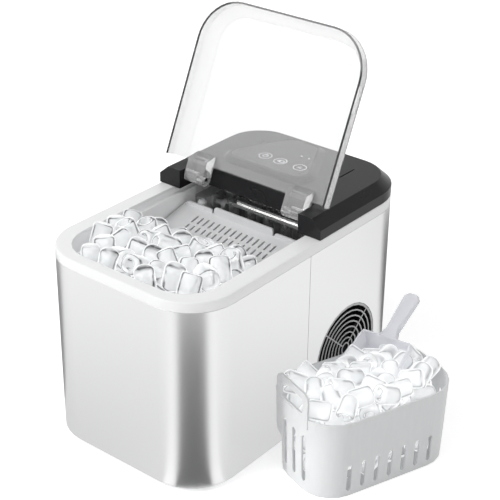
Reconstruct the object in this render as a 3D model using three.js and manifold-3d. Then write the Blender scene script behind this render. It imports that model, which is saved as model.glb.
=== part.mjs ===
// Countertop bullet ice maker, lid open, with its ice basket and scoop standing beside it.
// Millimetres, +Z up. The front faces -Y and the fan opening is in the +X flank.

import * as THREE from 'three';
import { mergeVertices } from 'three/addons/utils/BufferGeometryUtils.js';
import Module from 'manifold-3d';

const wasm = await Module();
wasm.setup();

// ---------------------------------------------------------------- driving dimensions

// Gaps between neighbours
const SEAT_GAP = 0.3;
const RUNNING_GAP = 0.5;

// Casing
const FRONT_CORNER_RADIUS = 54;
const BACK_CORNER_RADIUS = 53;
const SHEET_THICKNESS = 1;
const SEAM_Y = -2;
const PAN_THICKNESS = 2.5;
const PAN_LIP_HEIGHT = 5.4;

// Feet
const FOOT_HEIGHT = 5;
const FOOT_RADIUS = 11;
const FOOT_STEM_RADIUS = 3;
const FOOT_TO_COMPRESSOR = 5.5;
const FOOT_INSET_Y = 33;

// Top frame
const RIM_HEIGHT = 12;
const RIM_ROUNDING = 2.5;
const FRAME_WALL = 3;
const FRAME_TONGUE = 8;

// Water tank and bin liner
const TANK_SIDE_MARGIN = 19.5;
const TANK_FRONT_MARGIN = 13;
const TANK_MOUTH_RADIUS = 40;
const TANK_BACK_RADIUS = 20;
const TANK_WALL = 2.5;
const TANK_FLANGE = 7;
const BIN_LENGTH = 164;
const BIN_BACK_Y = -4;
const CHAMBER_DEPTH = 76;
const LEDGE_DROP = 26;
const LEDGE_WIDTH = 10;
const RESERVOIR_FLOOR_Z = 70;
const NIPPLE_RADIUS = 6;
const NIPPLE_LENGTH = 10;
const FOAM_THICKNESS = 7;

// Rear cover
const COVER_HEIGHT = 22;
const COVER_BAND = 11.5;
const COVER_CHAMFER = 12;
const COVER_WALL = 2.5;
const ARM_FRONT_Y = 13;
const ARM_WIDTH = 29.5;
const COVER_SETBACK = 15.5;

// Raised touch panel
const PANEL_X = -14;
const PANEL_SETBACK = 24;
const PANEL_LENGTH = 98;
const PANEL_FRONT_WIDTH = 120;
const PANEL_BACK_WIDTH = 64;
const PANEL_RISE = 5;
const PANEL_SLOPE = 6;
const PANEL_CORNER = 22;
const PANEL_LENS = 1.4;
const PANEL_BORDER = 3;
const BOARD_THICKNESS = 1.6;

// Lid
const LID_SIDE_INSET = 3;
const LID_FRONT_INSET = 11;
const LID_BACK_GAP = 2;
const LID_CORNER_RADIUS = 48;
const LID_WALL = 2;
const LID_OPEN_ANGLE = 114.5;
const LID_LUG_WIDTH = 26;
const HINGE_SETBACK = 13.5;
const HINGE_DROP = 8;
const HINGE_PIN_RADIUS = 2.2;
const HINGE_EYE_RADIUS = 7.6;
const HINGE_BOSS_RADIUS = 5.5;
const HINGE_BOSS_LENGTH = 15;

// Fan and its grille
const VENT_RADIUS = 54;
const VENT_CORNER_GAP = 4;
const GRILLE_FLANGE = 3;
const FLANGE_TO_LIP = 0.6;
const GRILLE_RINGS = 8;
const GRILLE_COLLAR = 2;
const GRILLE_BAR = 1.6;
const GRILLE_DEPTH = 2.4;
const GRILLE_SPOKE_ANGLE = 42;
const FAN_BLADES = 7;
const FAN_TIP_GAP = 3;
const DUCT_WALL = 2;
const DUCT_INSET = 3;
const FAN_HUB_RADIUS = 13;
const FAN_HUB_LENGTH = 13;
const FAN_PITCH = 30;
const FAN_TO_GRILLE = 5;
const FAN_SHAFT_RADIUS = 2.2;
const FAN_MOTOR_RADIUS = 17;
const FAN_MOTOR_LENGTH = 22;
const HUB_TO_MOTOR = 2;
const HUB_TO_SHROUD = 4;
const MOTOR_TO_CONDENSER = 4;

// Evaporator, water tray and ice shovel
const TRAY_DROP = 31;
const TRAY_RADIUS = 33;
const TRAY_WALL = 2;
const TRAY_LEFT_ROOM = 34;
const SENSOR_ROOM = 11;
const TRAY_BACK_ROOM = 6;
const TRAY_SHAFT_RADIUS = 3.5;
const PLATE_RISE = 10;
const PLATE_THICKNESS = 4;
const PLATE_REACH = 14;
const PLATE_DEPTH = 30;
const PLATE_END_MARGIN = 9;
const FINGER_RADIUS = 5.5;
const FINGER_LENGTH = 35;
const FINGER_ROW_SPACING = 14;
const FINGERS_FRONT = 5;
const FINGERS_BACK = 4;
const FINGER_END_ROOM = 17;
const COIL_RADIUS = 3.5;
const SHOVEL_AXLE_INSET = 16;
const SHOVEL_AXLE_DROP = 34;
const SHOVEL_AXLE_RADIUS = 2.4;
const SHOVEL_LENGTH = 47;
const SHOVEL_SLOPE = 13.8;
const SHOVEL_THICKNESS = 2.2;
const SHOVEL_TO_TRAY = 6.4;
const SHOVEL_BACK_HEIGHT = 9;
const SHOVEL_BACK_WIDTH = 82;
const SHOVEL_SLOTS = 15;
const SHOVEL_SLOT_PITCH = 7.8;
const SHOVEL_SLOT_WIDTH = 2.4;
const CHEEK_WIDTH = 5;
const CHEEK_REACH = 38;
const TRAY_MOTOR_HALF = 18;

// Refrigeration set on the base pan
const COMPRESSOR_RADIUS = 44;
const COMPRESSOR_HEIGHT = 108;
const COOLING_HEADROOM = 20.4;
const COMPRESSOR_BACK_ROOM = 26;
const HOSE_ROOM = 29.5;
const COMPRESSOR_SIDE_ROOM = 18.8;
const COMPRESSOR_FOOT_X = 52;
const COMPRESSOR_FOOT_Y = 43;
const GROMMET_HEIGHT = 11;
const CONDENSER_FINS = 17;
const CONDENSER_THICKNESS = 22;
const CONDENSER_TO_FOAM = 8.5;
const FIN_THICKNESS = 1.4;

// Basket
const BASKET_LENGTH = 178;
const BASKET_WIDTH = 112;
const BASKET_HEIGHT = 92;
const BASKET_RADIUS = 38;
const BASKET_WALL = 2;
const BASKET_TAPER = 3;
const BASKET_STEP = 10;
const BASKET_STEP_Z = 40;
const BASKET_TURN = 70;
const BASKET_SIDE_GAP = 1.5;
const BASKET_Y = -4;
const BASKET_SLOT_WIDTH = 5.5;
const HANDLE_WIDTH = 57;
const HANDLE_HEIGHT = 28;
const HANDLE_BAR = 8;

// Scoop
const SCOOP_BOWL_LENGTH = 84;
const SCOOP_BOWL_WIDTH = 60;
const SCOOP_BOWL_DEPTH = 34;
const SCOOP_WALL = 1.8;
const SCOOP_HANDLE_LENGTH = 64;
const SCOOP_HANDLE_WIDTH = 19;
const SCOOP_HANDLE_THICKNESS = 8;
const SCOOP_HANDLE_DEPTH = 9;
const SCOOP_LEAN = 22;
const SCOOP_TURN = 27;
const SCOOP_END_ROOM = 29.4;
const SCOOP_SIDE_OVERLAP = 6.6;
const SCOOP_RISE = 22.46;

// ---------------------------------------------------------------- heights and planes worked out from them

// Heights, from the counter up: the cold chamber's floor lies over the compressor and the condenser
const PAN_Z = FOOT_HEIGHT + PAN_THICKNESS;
const COMPRESSOR_BASE_Z = PAN_Z + GROMMET_HEIGHT + 2 * SEAT_GAP;
const COMPRESSOR_TOP_Z = COMPRESSOR_BASE_Z + COMPRESSOR_HEIGHT;
const VENT_Z = FOOT_HEIGHT + PAN_LIP_HEIGHT + FLANGE_TO_LIP + GRILLE_FLANGE + VENT_RADIUS;
const CONDENSER_HALF = VENT_RADIUS + DUCT_WALL;
const CONDENSER_TOP_Z = VENT_Z + CONDENSER_HALF;
const COOLING_TOP_Z = Math.max(COMPRESSOR_TOP_Z, CONDENSER_TOP_Z);
const CHAMBER_FLOOR_Z = COOLING_TOP_Z + COOLING_HEADROOM + TANK_WALL;
const LEDGE_Z = CHAMBER_FLOOR_Z - LEDGE_DROP;
const RIM_Z = CHAMBER_FLOOR_Z + CHAMBER_DEPTH;
const SEAM_Z = RIM_Z - RIM_HEIGHT;
const COVER_Z = RIM_Z + COVER_HEIGHT;
const TANK_TOP = RIM_Z - FRAME_WALL - SEAT_GAP;
const HINGE_Z = COVER_Z - HINGE_DROP;
const TRAY_Z = RIM_Z - TRAY_DROP;
const SHOVEL_AXLE_Z = RIM_Z - SHOVEL_AXLE_DROP;

// Depths, both ways from the bin's back wall
const SHOVEL_RUN = SHOVEL_LENGTH * Math.cos(THREE.MathUtils.degToRad(SHOVEL_SLOPE));
const SHOVEL_RISE = SHOVEL_LENGTH * Math.sin(THREE.MathUtils.degToRad(SHOVEL_SLOPE));
const TANK_FRONT = BIN_BACK_Y - BIN_LENGTH;
const FRONT_Y = TANK_FRONT - TANK_FRONT_MARGIN;
const SHOVEL_AXLE_Y = BIN_BACK_Y - SHOVEL_AXLE_INSET;
const TRAY_Y = SHOVEL_AXLE_Y + SHOVEL_RUN + SHOVEL_TO_TRAY + TRAY_RADIUS;
const TANK_BACK = TRAY_Y + TRAY_RADIUS + TRAY_BACK_ROOM;
const FOAM_BACK = BIN_BACK_Y + TANK_WALL + FOAM_THICKNESS;
const VENT_Y = FOAM_BACK + CONDENSER_TO_FOAM + CONDENSER_HALF;
const BACK_Y = VENT_Y + VENT_RADIUS + VENT_CORNER_GAP + BACK_CORNER_RADIUS;
const HINGE_Y = ARM_FRONT_Y + HINGE_SETBACK;
const COVER_FRONT_Y = HINGE_Y + COVER_SETBACK;
const PANEL_FRONT_Y = COVER_FRONT_Y + PANEL_SETBACK;
const COMPRESSOR_Y = BACK_Y - COMPRESSOR_BACK_ROOM - COMPRESSOR_FOOT_Y;

// Widths: the cooling train, the compressor and the hoses fill the casing from side to side
const TRAIN_LENGTH = SEAT_GAP + GRILLE_DEPTH + FAN_TO_GRILLE + FAN_HUB_LENGTH + HUB_TO_MOTOR
  + FAN_MOTOR_LENGTH + MOTOR_TO_CONDENSER + CONDENSER_THICKNESS;
const BODY_WIDTH = TRAIN_LENGTH + COMPRESSOR_SIDE_ROOM + 2 * COMPRESSOR_FOOT_X + HOSE_ROOM;
const HALF_WIDTH = BODY_WIDTH / 2;
const CASING_INNER = HALF_WIDTH - SHEET_THICKNESS;
const TANK_HALF = HALF_WIDTH - TANK_SIDE_MARGIN;
const ARM_INNER = HALF_WIDTH - ARM_WIDTH;
const TRAY_LEFT_X = TRAY_LEFT_ROOM - TANK_HALF;
const TRAY_RIGHT_X = TANK_HALF - CHEEK_WIDTH - SENSOR_ROOM;

// The cooling train, from the grille inwards, and the compressor after it
const GRILLE_FACE_X = HALF_WIDTH - SEAT_GAP;
const GRILLE_BACK_X = GRILLE_FACE_X - GRILLE_DEPTH;
const FAN_HUB_X = GRILLE_BACK_X - FAN_TO_GRILLE - FAN_HUB_LENGTH;
const SHROUD_FRONT_X = FAN_HUB_X - HUB_TO_SHROUD;
const MOTOR_FRONT_X = FAN_HUB_X - HUB_TO_MOTOR;
const MOTOR_BACK_X = MOTOR_FRONT_X - FAN_MOTOR_LENGTH;
const CONDENSER_FRONT_X = MOTOR_BACK_X - MOTOR_TO_CONDENSER;
const CONDENSER_BACK_X = CONDENSER_FRONT_X - CONDENSER_THICKNESS;
const DUCT_BORE = VENT_RADIUS - DUCT_INSET;
const COMPRESSOR_X = CONDENSER_BACK_X - COMPRESSOR_SIDE_ROOM - COMPRESSOR_FOOT_X;

// ---------------------------------------------------------------- shape helpers

const radians = THREE.MathUtils.degToRad;

// A closed three.js geometry as a manifold solid
function solid(geometry) {
  const bare = new THREE.BufferGeometry();
  bare.setAttribute('position', geometry.getAttribute('position'));
  bare.setIndex(geometry.index);
  const welded = mergeVertices(bare, 1e-4);
  const corners = welded.index.array;
  const triVerts = [];
  for (let i = 0; i < corners.length; i += 3) {
    const [a, b, c] = corners.slice(i, i + 3);
    if (a !== b && b !== c && c !== a) triVerts.push(a, b, c);
  }
  return new wasm.Manifold(new wasm.Mesh({
    numProp: 3,
    vertProperties: Float32Array.from(welded.getAttribute('position').array),
    triVerts: Uint32Array.from(triVerts),
  }));
}

function geometryOf(body) {
  const { vertProperties, triVerts } = body.getMesh();
  const geometry = new THREE.BufferGeometry();
  geometry.setAttribute('position', new THREE.BufferAttribute(vertProperties, 3));
  geometry.setIndex(new THREE.BufferAttribute(triVerts, 1));
  geometry.computeVertexNormals();
  return geometry;
}

const join = (...bodies) => bodies.reduce((sum, body) => sum.add(body));
const cut = (body, ...tools) => tools.reduce((rest, tool) => rest.subtract(tool), body);

// Points of an arc, both ends included
function arc(x, y, radius, startDegrees, sweepDegrees, steps) {
  return Array.from({ length: steps + 1 }, (_, i) => {
    const angle = radians(startDegrees + (sweepDegrees * i) / steps);
    return new THREE.Vector2(x + radius * Math.cos(angle), y + radius * Math.sin(angle));
  });
}

// Rounded rectangle seen from above; inset moves the whole outline inwards
function roundedRing({ left, right, front, back, frontRadius, backRadius }, inset = 0, steps = 8) {
  return [
    ...arc(right - frontRadius, front + frontRadius, frontRadius - inset, -90, 90, steps),
    ...arc(right - backRadius, back - backRadius, backRadius - inset, 0, 90, steps),
    ...arc(left + backRadius, back - backRadius, backRadius - inset, 90, 90, steps),
    ...arc(left + frontRadius, front + frontRadius, frontRadius - inset, 180, 90, steps),
  ];
}

// Solid through a stack of rings that have the same number of points: [[z, ring], ...] from low to high
function loft(sections) {
  const count = sections[0][1].length;
  const positions = sections.flatMap(([z, ring]) => ring.flatMap((point) => [point.x, point.y, z]));
  const index = [];
  for (let level = 0; level < sections.length - 1; level += 1) {
    for (let i = 0; i < count; i += 1) {
      const a = level * count + i;
      const b = level * count + ((i + 1) % count);
      index.push(a, b, b + count, a, b + count, a + count);
    }
  }
  const top = (sections.length - 1) * count;
  for (const [a, b, c] of THREE.ShapeUtils.triangulateShape(sections[0][1], [])) index.push(a, c, b);
  for (const [a, b, c] of THREE.ShapeUtils.triangulateShape(sections.at(-1)[1], [])) {
    index.push(top + a, top + b, top + c);
  }
  const geometry = new THREE.BufferGeometry();
  geometry.setAttribute('position', new THREE.Float32BufferAttribute(positions, 3));
  geometry.setIndex(index);
  return solid(geometry);
}

const prism = (ring, low, high) => loft([[low, ring], [high, ring]]);

function block([x0, x1], [y0, y1], [z0, z1]) {
  const geometry = new THREE.BoxGeometry(Math.abs(x1 - x0), Math.abs(y1 - y0), Math.abs(z1 - z0));
  return solid(geometry.translate((x0 + x1) / 2, (y0 + y1) / 2, (z0 + z1) / 2));
}

// Turn a geometry made along Z so that it runs along another axis
const ALONG = {
  x: (geometry) => geometry.rotateY(Math.PI / 2),
  y: (geometry) => geometry.rotateX(-Math.PI / 2),
  z: (geometry) => geometry,
};

// Round bar along an axis between two stations on it, at the given cross position
function rod(axis, radius, [from, to], [x, y, z], sides = 16) {
  const bar = new THREE.CylinderGeometry(radius, radius, Math.abs(to - from), sides);
  bar.rotateX(Math.PI / 2).translate(0, 0, (from + to) / 2);
  return solid(ALONG[axis](bar).translate(x, y, z));
}

// Revolved solid about an axis from [radius, station] pairs that start and end on it or close on themselves
function turned(axis, profile, [x, y, z], sides = 24) {
  const lathe = new THREE.LatheGeometry(profile.map(([r, s]) => new THREE.Vector2(r, s)), sides);
  return solid(ALONG[axis](lathe.rotateX(Math.PI / 2)).translate(x, y, z));
}

const hoop = (axis, inner, outer, from, to, centre, sides) => turned(
  axis,
  [[inner, from], [outer, from], [outer, to], [inner, to], [inner, from]],
  centre,
  sides,
);

// Outline in the YZ plane swept along X
function sweptX(points, [from, to]) {
  const shape = new THREE.Shape(points.map(([y, z]) => new THREE.Vector2(y, z)));
  const geometry = new THREE.ExtrudeGeometry(shape, { depth: to - from, bevelEnabled: false });
  return solid(geometry.rotateX(Math.PI / 2).rotateZ(Math.PI / 2).translate(from, 0, 0));
}

// Pipe or hose through a list of points
function pipe(points, radius, steps = 22, sides = 6) {
  const stations = points.map((point) => new THREE.Vector3(...point));
  const route = new THREE.CatmullRomCurve3(stations, false, 'centripetal');
  const section = new THREE.Shape(arc(0, 0, radius, 0, 360 - 360 / sides, sides - 1));
  return solid(new THREE.ExtrudeGeometry(section, { extrudePath: route, steps, bevelEnabled: false }));
}

function finish(color, roughness, metalness = 0, opacity = 1) {
  return new THREE.MeshStandardMaterial({ color, roughness, metalness, opacity, transparent: opacity < 1 });
}

const FINISHES = {
  steel: finish(0xd4d5d6, 0.32, 1),
  zinc: finish(0xb9bcbe, 0.45, 0.9),
  white: finish(0xf2f3f3, 0.45),
  black: finish(0x2b2c2e, 0.4),
  lens: finish(0x3f4144, 0.15),
  grey: finish(0x8a8d90, 0.5),
  dark: finish(0x4a4c4f, 0.55),
  clear: finish(0xeef2f4, 0.06, 0, 0.3),
  frosted: finish(0xd9dbe6, 0.25, 0, 0.7),
  rubber: finish(0x1c1c1d, 0.8),
  foam: finish(0xe9e4d4, 0.95),
  copper: finish(0xb87444, 0.35, 1),
  aluminium: finish(0xc9ccce, 0.4, 1),
  chrome: finish(0xe6e7e8, 0.12, 1),
  enamel: finish(0x18191b, 0.35),
  circuit: finish(0x1f5a38, 0.5),
  silicone: finish(0xdfe3e6, 0.5, 0, 0.75),
};

function piece(name, body, material) {
  const mesh = new THREE.Mesh(geometryOf(body), material);
  mesh.name = name;
  return mesh;
}

// ---------------------------------------------------------------- outlines shared by several pieces

const bodyRing = (inset, steps) => roundedRing({
  left: -HALF_WIDTH,
  right: HALF_WIDTH,
  front: FRONT_Y,
  back: BACK_Y,
  frontRadius: FRONT_CORNER_RADIUS,
  backRadius: BACK_CORNER_RADIUS,
}, inset, steps);

const mouthRing = (inset) => roundedRing({
  left: -TANK_HALF,
  right: TANK_HALF,
  front: TANK_FRONT,
  back: TANK_BACK,
  frontRadius: TANK_MOUTH_RADIUS,
  backRadius: TANK_BACK_RADIUS,
}, inset, 6);

// The front part of the tank, under the bin
const binRing = (inset) => roundedRing({
  left: -TANK_HALF,
  right: TANK_HALF,
  front: TANK_FRONT,
  back: BIN_BACK_Y,
  frontRadius: TANK_MOUTH_RADIUS,
  backRadius: TANK_BACK_RADIUS,
}, inset, 6);

const inFrontOf = (y) => block([-HALF_WIDTH - 9, HALF_WIDTH + 9], [FRONT_Y - 9, y], [-9, COVER_Z + 9]);
const behind = (y) => block([-HALF_WIDTH - 9, HALF_WIDTH + 9], [y, BACK_Y + 9], [-9, COVER_Z + 9]);

// ---------------------------------------------------------------- casing

const steelShell = () => cut(
  prism(bodyRing(0), FOOT_HEIGHT, SEAM_Z),
  prism(bodyRing(SHEET_THICKNESS), FOOT_HEIGHT - 1, SEAM_Z + 1),
);

const LOUVRE = { columns: 2, rows: 9, length: 26, height: 4, pitch: 9, lowZ: 96, gap: 8, x: -54 };
// Cord gland and drain spout, on the flat part of the back between its round corners
const PORT_INSET = 12.5;
const CORD_X = HALF_WIDTH - BACK_CORNER_RADIUS - PORT_INSET;
const CORD_Z = 34;
const GLAND_RADIUS = 7;
const DRAIN_X = -CORD_X;
const DRAIN_Z = 24;
const SPOUT_RADIUS = 7.5;

function frontWrap() {
  return cut(steelShell(), behind(SEAM_Y - SEAT_GAP / 2));
}

function rearWrap() {
  const reach = [BACK_Y - 12, BACK_Y + 3];
  const louvres = [];
  for (let column = 0; column < LOUVRE.columns; column += 1) {
    const x = LOUVRE.x + column * (LOUVRE.length + LOUVRE.gap);
    for (let row = 0; row < LOUVRE.rows; row += 1) {
      const z = LOUVRE.lowZ + row * LOUVRE.pitch;
      louvres.push(block([x, x + LOUVRE.length], reach, [z, z + LOUVRE.height]));
    }
  }
  return cut(
    steelShell(),
    inFrontOf(SEAM_Y + SEAT_GAP / 2),
    rod('x', VENT_RADIUS + SEAT_GAP, [CASING_INNER - 5, HALF_WIDTH + 5], [0, VENT_Y, VENT_Z], 28),
    rod('y', GLAND_RADIUS + SEAT_GAP, reach, [CORD_X, 0, CORD_Z]),
    rod('y', SPOUT_RADIUS + SEAT_GAP, reach, [DRAIN_X, 0, DRAIN_Z]),
    ...louvres,
  );
}

const FOOT_SPOTS = [-1, 1].flatMap((back) => [-1, 1].map((right) => ({
  name: `foot_${back < 0 ? 'front' : 'rear'}_${right < 0 ? 'left' : 'right'}`,
  x: right * (HALF_WIDTH - HOSE_ROOM + FOOT_TO_COMPRESSOR),
  y: back < 0 ? FRONT_Y + FOOT_INSET_Y : BACK_Y - FOOT_INSET_Y,
})));

function basePan() {
  const inset = SHEET_THICKNESS + SEAT_GAP;
  const tray = cut(
    prism(bodyRing(inset), FOOT_HEIGHT, FOOT_HEIGHT + PAN_LIP_HEIGHT),
    prism(bodyRing(inset + PAN_THICKNESS), PAN_Z, FOOT_HEIGHT + PAN_LIP_HEIGHT + 1),
  );
  const holes = FOOT_SPOTS.map(({ x, y }) => (
    rod('z', FOOT_STEM_RADIUS + SEAT_GAP, [FOOT_HEIGHT - 1, PAN_Z + 1], [x, y, 0], 12)
  ));
  return cut(tray, ...holes);
}

// Push-in rubber foot: a pad under the pan and a barbed stem through it
function foot() {
  const top = FOOT_HEIGHT - SEAT_GAP;
  const barb = PAN_Z + SEAT_GAP;
  return turned('z', [
    [0, 0],
    [FOOT_RADIUS - 1.5, 0],
    [FOOT_RADIUS, 2],
    [FOOT_RADIUS, top],
    [FOOT_STEM_RADIUS, top],
    [FOOT_STEM_RADIUS, barb],
    [FOOT_STEM_RADIUS + 1.6, barb],
    [FOOT_STEM_RADIUS - 1, barb + 3],
    [0, barb + 3],
  ], [0, 0, 0], 16);
}

// White rim: skirt, deck round the tank mouth, and a tongue inside the steel
const PIPE_HATCH = { x: [TANK_HALF - 26, TANK_HALF + 4], y: [TANK_BACK + 16, TANK_BACK + 38] };
const HOSE_RISE = { x: -TANK_HALF, y: TANK_BACK + 26 };
const HOSE_HATCH = {
  x: [HOSE_RISE.x - 8, HOSE_RISE.x + 8],
  y: [HOSE_RISE.y - 8, HOSE_RISE.y + 8],
};

function topFrame() {
  const low = SEAM_Z + SEAT_GAP;
  const tongueInset = SHEET_THICKNESS + SEAT_GAP;
  const rim = loft([
    [low, bodyRing(0)],
    [RIM_Z - RIM_ROUNDING, bodyRing(0)],
    [RIM_Z - RIM_ROUNDING * 0.3, bodyRing(RIM_ROUNDING * 0.3)],
    [RIM_Z, bodyRing(RIM_ROUNDING)],
  ]);
  const tongue = prism(bodyRing(tongueInset), SEAM_Z - FRAME_TONGUE, low + 1);
  const hollow = prism(bodyRing(tongueInset + FRAME_WALL - 1), SEAM_Z - FRAME_TONGUE - 1, RIM_Z - FRAME_WALL);
  const hatches = [PIPE_HATCH, HOSE_HATCH].map(({ x, y }) => block(x, y, [RIM_Z - 9, RIM_Z + 9]));
  return cut(join(rim, tongue), hollow, prism(mouthRing(0), RIM_Z - 9, RIM_Z + 9), ...hatches);
}

// ---------------------------------------------------------------- tank, liner and foam

const PUMP_X = -40;
const PUMP_Y = -80;
const DRAIN_NIPPLE_X = -66;
const DRAIN_NIPPLE_Y = -44;

// Everything inside the tank's walls, grown outwards by a margin
function tankVolume(grow) {
  return join(
    prism(mouthRing(-grow), CHAMBER_FLOOR_Z - grow, TANK_TOP + (grow ? 0 : 9)),
    loft([
      [LEDGE_Z - grow, binRing(1.5 - grow)],
      [CHAMBER_FLOOR_Z + 9, binRing(-grow)],
    ]),
    loft([
      [RESERVOIR_FLOOR_Z - grow, binRing(LEDGE_WIDTH + 3 - grow)],
      [LEDGE_Z + 1, binRing(LEDGE_WIDTH - grow)],
    ]),
  );
}

function nipple(x, y) {
  const low = RESERVOIR_FLOOR_Z - TANK_WALL - NIPPLE_LENGTH;
  return {
    spigot: rod('z', NIPPLE_RADIUS, [low, RESERVOIR_FLOOR_Z - 1], [x, y, 0], 16),
    bore: rod('z', NIPPLE_RADIUS - 2, [low - 1, RESERVOIR_FLOOR_Z + 1], [x, y, 0], 16),
    room: rod('z', NIPPLE_RADIUS + 2, [low - 20, RESERVOIR_FLOOR_Z - 1], [x, y, 0], 16),
  };
}

const NIPPLES = [nipple(PUMP_X, PUMP_Y), nipple(DRAIN_NIPPLE_X, DRAIN_NIPPLE_Y)];

function tank() {
  const flange = prism(mouthRing(-TANK_FLANGE), TANK_TOP - TANK_WALL, TANK_TOP);
  const shell = cut(join(tankVolume(TANK_WALL), flange), tankVolume(0));
  // Cheeks that carry the shovel axle, and the boss that carries the right end of the tray shaft
  const cheeks = [-1, 1].map((side) => block(
    [side * (TANK_HALF + 1), side * (TANK_HALF - CHEEK_WIDTH)],
    [SHOVEL_AXLE_Y - CHEEK_REACH, TRAY_Y - TRAY_MOTOR_HALF - 2],
    [CHAMBER_FLOOR_Z - 1, TANK_TOP - 6],
  ));
  const sockets = [-1, 1].map((side) => rod(
    'x',
    SHOVEL_AXLE_RADIUS + RUNNING_GAP,
    [side * (TANK_HALF - CHEEK_WIDTH - 1), side * (TANK_HALF - 0.5)],
    [0, SHOVEL_AXLE_Y, SHOVEL_AXLE_Z],
    16,
  ));
  const bossEnd = TRAY_RIGHT_X + 4.5;
  const trayAxis = [0, TRAY_Y, TRAY_Z];
  const boss = rod('x', TRAY_SHAFT_RADIUS + 4, [bossEnd, TANK_HALF + 1], trayAxis);
  const bossBore = rod('x', TRAY_SHAFT_RADIUS + RUNNING_GAP, [bossEnd - 1, TANK_HALF - 1], trayAxis, 16);
  return cut(
    join(shell, ...cheeks, boss, ...NIPPLES.map(({ spigot }) => spigot)),
    ...sockets,
    bossBore,
    ...NIPPLES.map(({ bore }) => bore),
  );
}

function foamJacket() {
  const low = RESERVOIR_FLOOR_Z - TANK_WALL - FOAM_THICKNESS;
  const outer = prism(binRing(-TANK_WALL - FOAM_THICKNESS), low, SEAM_Z - FRAME_TONGUE - 1);
  return cut(outer, tankVolume(TANK_WALL + SEAT_GAP), ...NIPPLES.map(({ room }) => room));
}

// ---------------------------------------------------------------- rear cover, touch panel and boards

// The cover's outer form, or the hollow inside it when inset by the wall
function coverForm(inset) {
  const low = RIM_Z + SEAT_GAP - (inset ? 1 : 0);
  const form = loft([
    [low, bodyRing(inset)],
    [RIM_Z + COVER_BAND, bodyRing(inset)],
    [COVER_Z - inset, bodyRing(inset + COVER_CHAMFER)],
  ]);
  const recess = block(
    [-ARM_INNER - inset, ARM_INNER + inset],
    [FRONT_Y, COVER_FRONT_Y + inset],
    [0, COVER_Z + 9],
  );
  return cut(form, inFrontOf(ARM_FRONT_Y + inset), recess);
}

// Tongue-shaped panel outline, wide at the front
function panelRing(inset) {
  const front = PANEL_FRONT_Y + PANEL_CORNER;
  const back = PANEL_FRONT_Y + PANEL_LENGTH - PANEL_CORNER;
  const radius = PANEL_CORNER - inset;
  const frontX = PANEL_FRONT_WIDTH / 2 - PANEL_CORNER;
  const backX = PANEL_BACK_WIDTH / 2 - PANEL_CORNER;
  const lean = THREE.MathUtils.radToDeg(Math.atan2(frontX - backX, back - front));
  return [
    ...arc(PANEL_X + frontX, front, radius, -90, 90 + lean, 7),
    ...arc(PANEL_X + backX, back, radius, lean, 90 - lean, 5),
    ...arc(PANEL_X - backX, back, radius, 90, 90 - lean, 5),
    ...arc(PANEL_X - frontX, front, radius, 180 - lean, 90 + lean, 7),
  ];
}

const BOARD = { x: [PANEL_X - 32, PANEL_X + 38], y: [PANEL_FRONT_Y + 20, PANEL_FRONT_Y + 78] };
const BOARD_TOP_Z = COVER_Z - COVER_WALL - 4;
const GROOVE = { x: ARM_INNER - 19, y: [BACK_Y - 68, BACK_Y - 40], width: 1.6, depth: 1.2 };

function rearCover() {
  const plateau = loft([
    [COVER_Z - 1, panelRing(0)],
    [COVER_Z + 0.5, panelRing(0)],
    [COVER_Z + PANEL_RISE, panelRing(PANEL_SLOPE)],
  ]);
  const lensSeat = prism(
    panelRing(PANEL_SLOPE + PANEL_BORDER),
    COVER_Z + PANEL_RISE - PANEL_LENS - SEAT_GAP,
    COVER_Z + 9,
  );
  const posts = BOARD.x.flatMap((x, i) => BOARD.y.map((y, j) => rod(
    'z',
    3,
    [BOARD_TOP_Z + SEAT_GAP, COVER_Z - 1],
    [x + (i ? -6 : 6), y + (j ? -6 : 6), 0],
    12,
  )));
  const pinHoles = [-1, 1].map((side) => rod(
    'x',
    HINGE_PIN_RADIUS + SEAT_GAP,
    [side * (ARM_INNER - 1), side * (ARM_INNER + COVER_WALL + 1)],
    [0, HINGE_Y, HINGE_Z],
    16,
  ));
  const grooves = [-1, 1].map((side) => block(
    [side * GROOVE.x - GROOVE.width / 2, side * GROOVE.x + GROOVE.width / 2],
    GROOVE.y,
    [COVER_Z - GROOVE.depth, COVER_Z + 9],
  ));
  const shell = join(cut(coverForm(0), coverForm(COVER_WALL)), plateau, ...posts);
  return cut(shell, lensSeat, ...pinHoles, ...grooves);
}

function touchPanel() {
  const top = COVER_Z + PANEL_RISE;
  return prism(panelRing(PANEL_SLOPE + PANEL_BORDER + SEAT_GAP), top - PANEL_LENS, top);
}

function controlBoard() {
  const low = BOARD_TOP_Z - BOARD_THICKNESS;
  return join(
    block(BOARD.x, BOARD.y, [low, BOARD_TOP_Z]),
    block([PANEL_X - 16, PANEL_X], [BOARD.y[0] + 6, BOARD.y[0] + 18], [low - 3, low + 1]),
    block([PANEL_X + 14, PANEL_X + 26], [BOARD.y[0] + 34, BOARD.y[0] + 48], [low - 4, low + 1]),
  );
}

// ---------------------------------------------------------------- lid and its hinge pins

const LID_BACK_Y = ARM_FRONT_Y - LID_BACK_GAP;
const LID_LOW_Z = RIM_Z + SEAT_GAP;

// Lid outline: round front corners, straight across the back
function lidRing(inset, back) {
  const half = HALF_WIDTH - LID_SIDE_INSET;
  const front = FRONT_Y + LID_FRONT_INSET;
  const radius = LID_CORNER_RADIUS;
  return [
    ...arc(half - radius, front + radius, radius - inset, -90, 90, 10),
    new THREE.Vector2(half - inset, back),
    new THREE.Vector2(inset - half, back),
    ...arc(radius - half, front + radius, radius - inset, 180, 90, 10),
  ];
}

function lidForm(inset, back) {
  return loft([
    [LID_LOW_Z - (inset ? 1 : 0), lidRing(inset, back)],
    [RIM_Z + COVER_BAND, lidRing(inset, back)],
    [COVER_Z - inset, lidRing(inset + COVER_CHAMFER, back)],
  ]);
}

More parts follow.
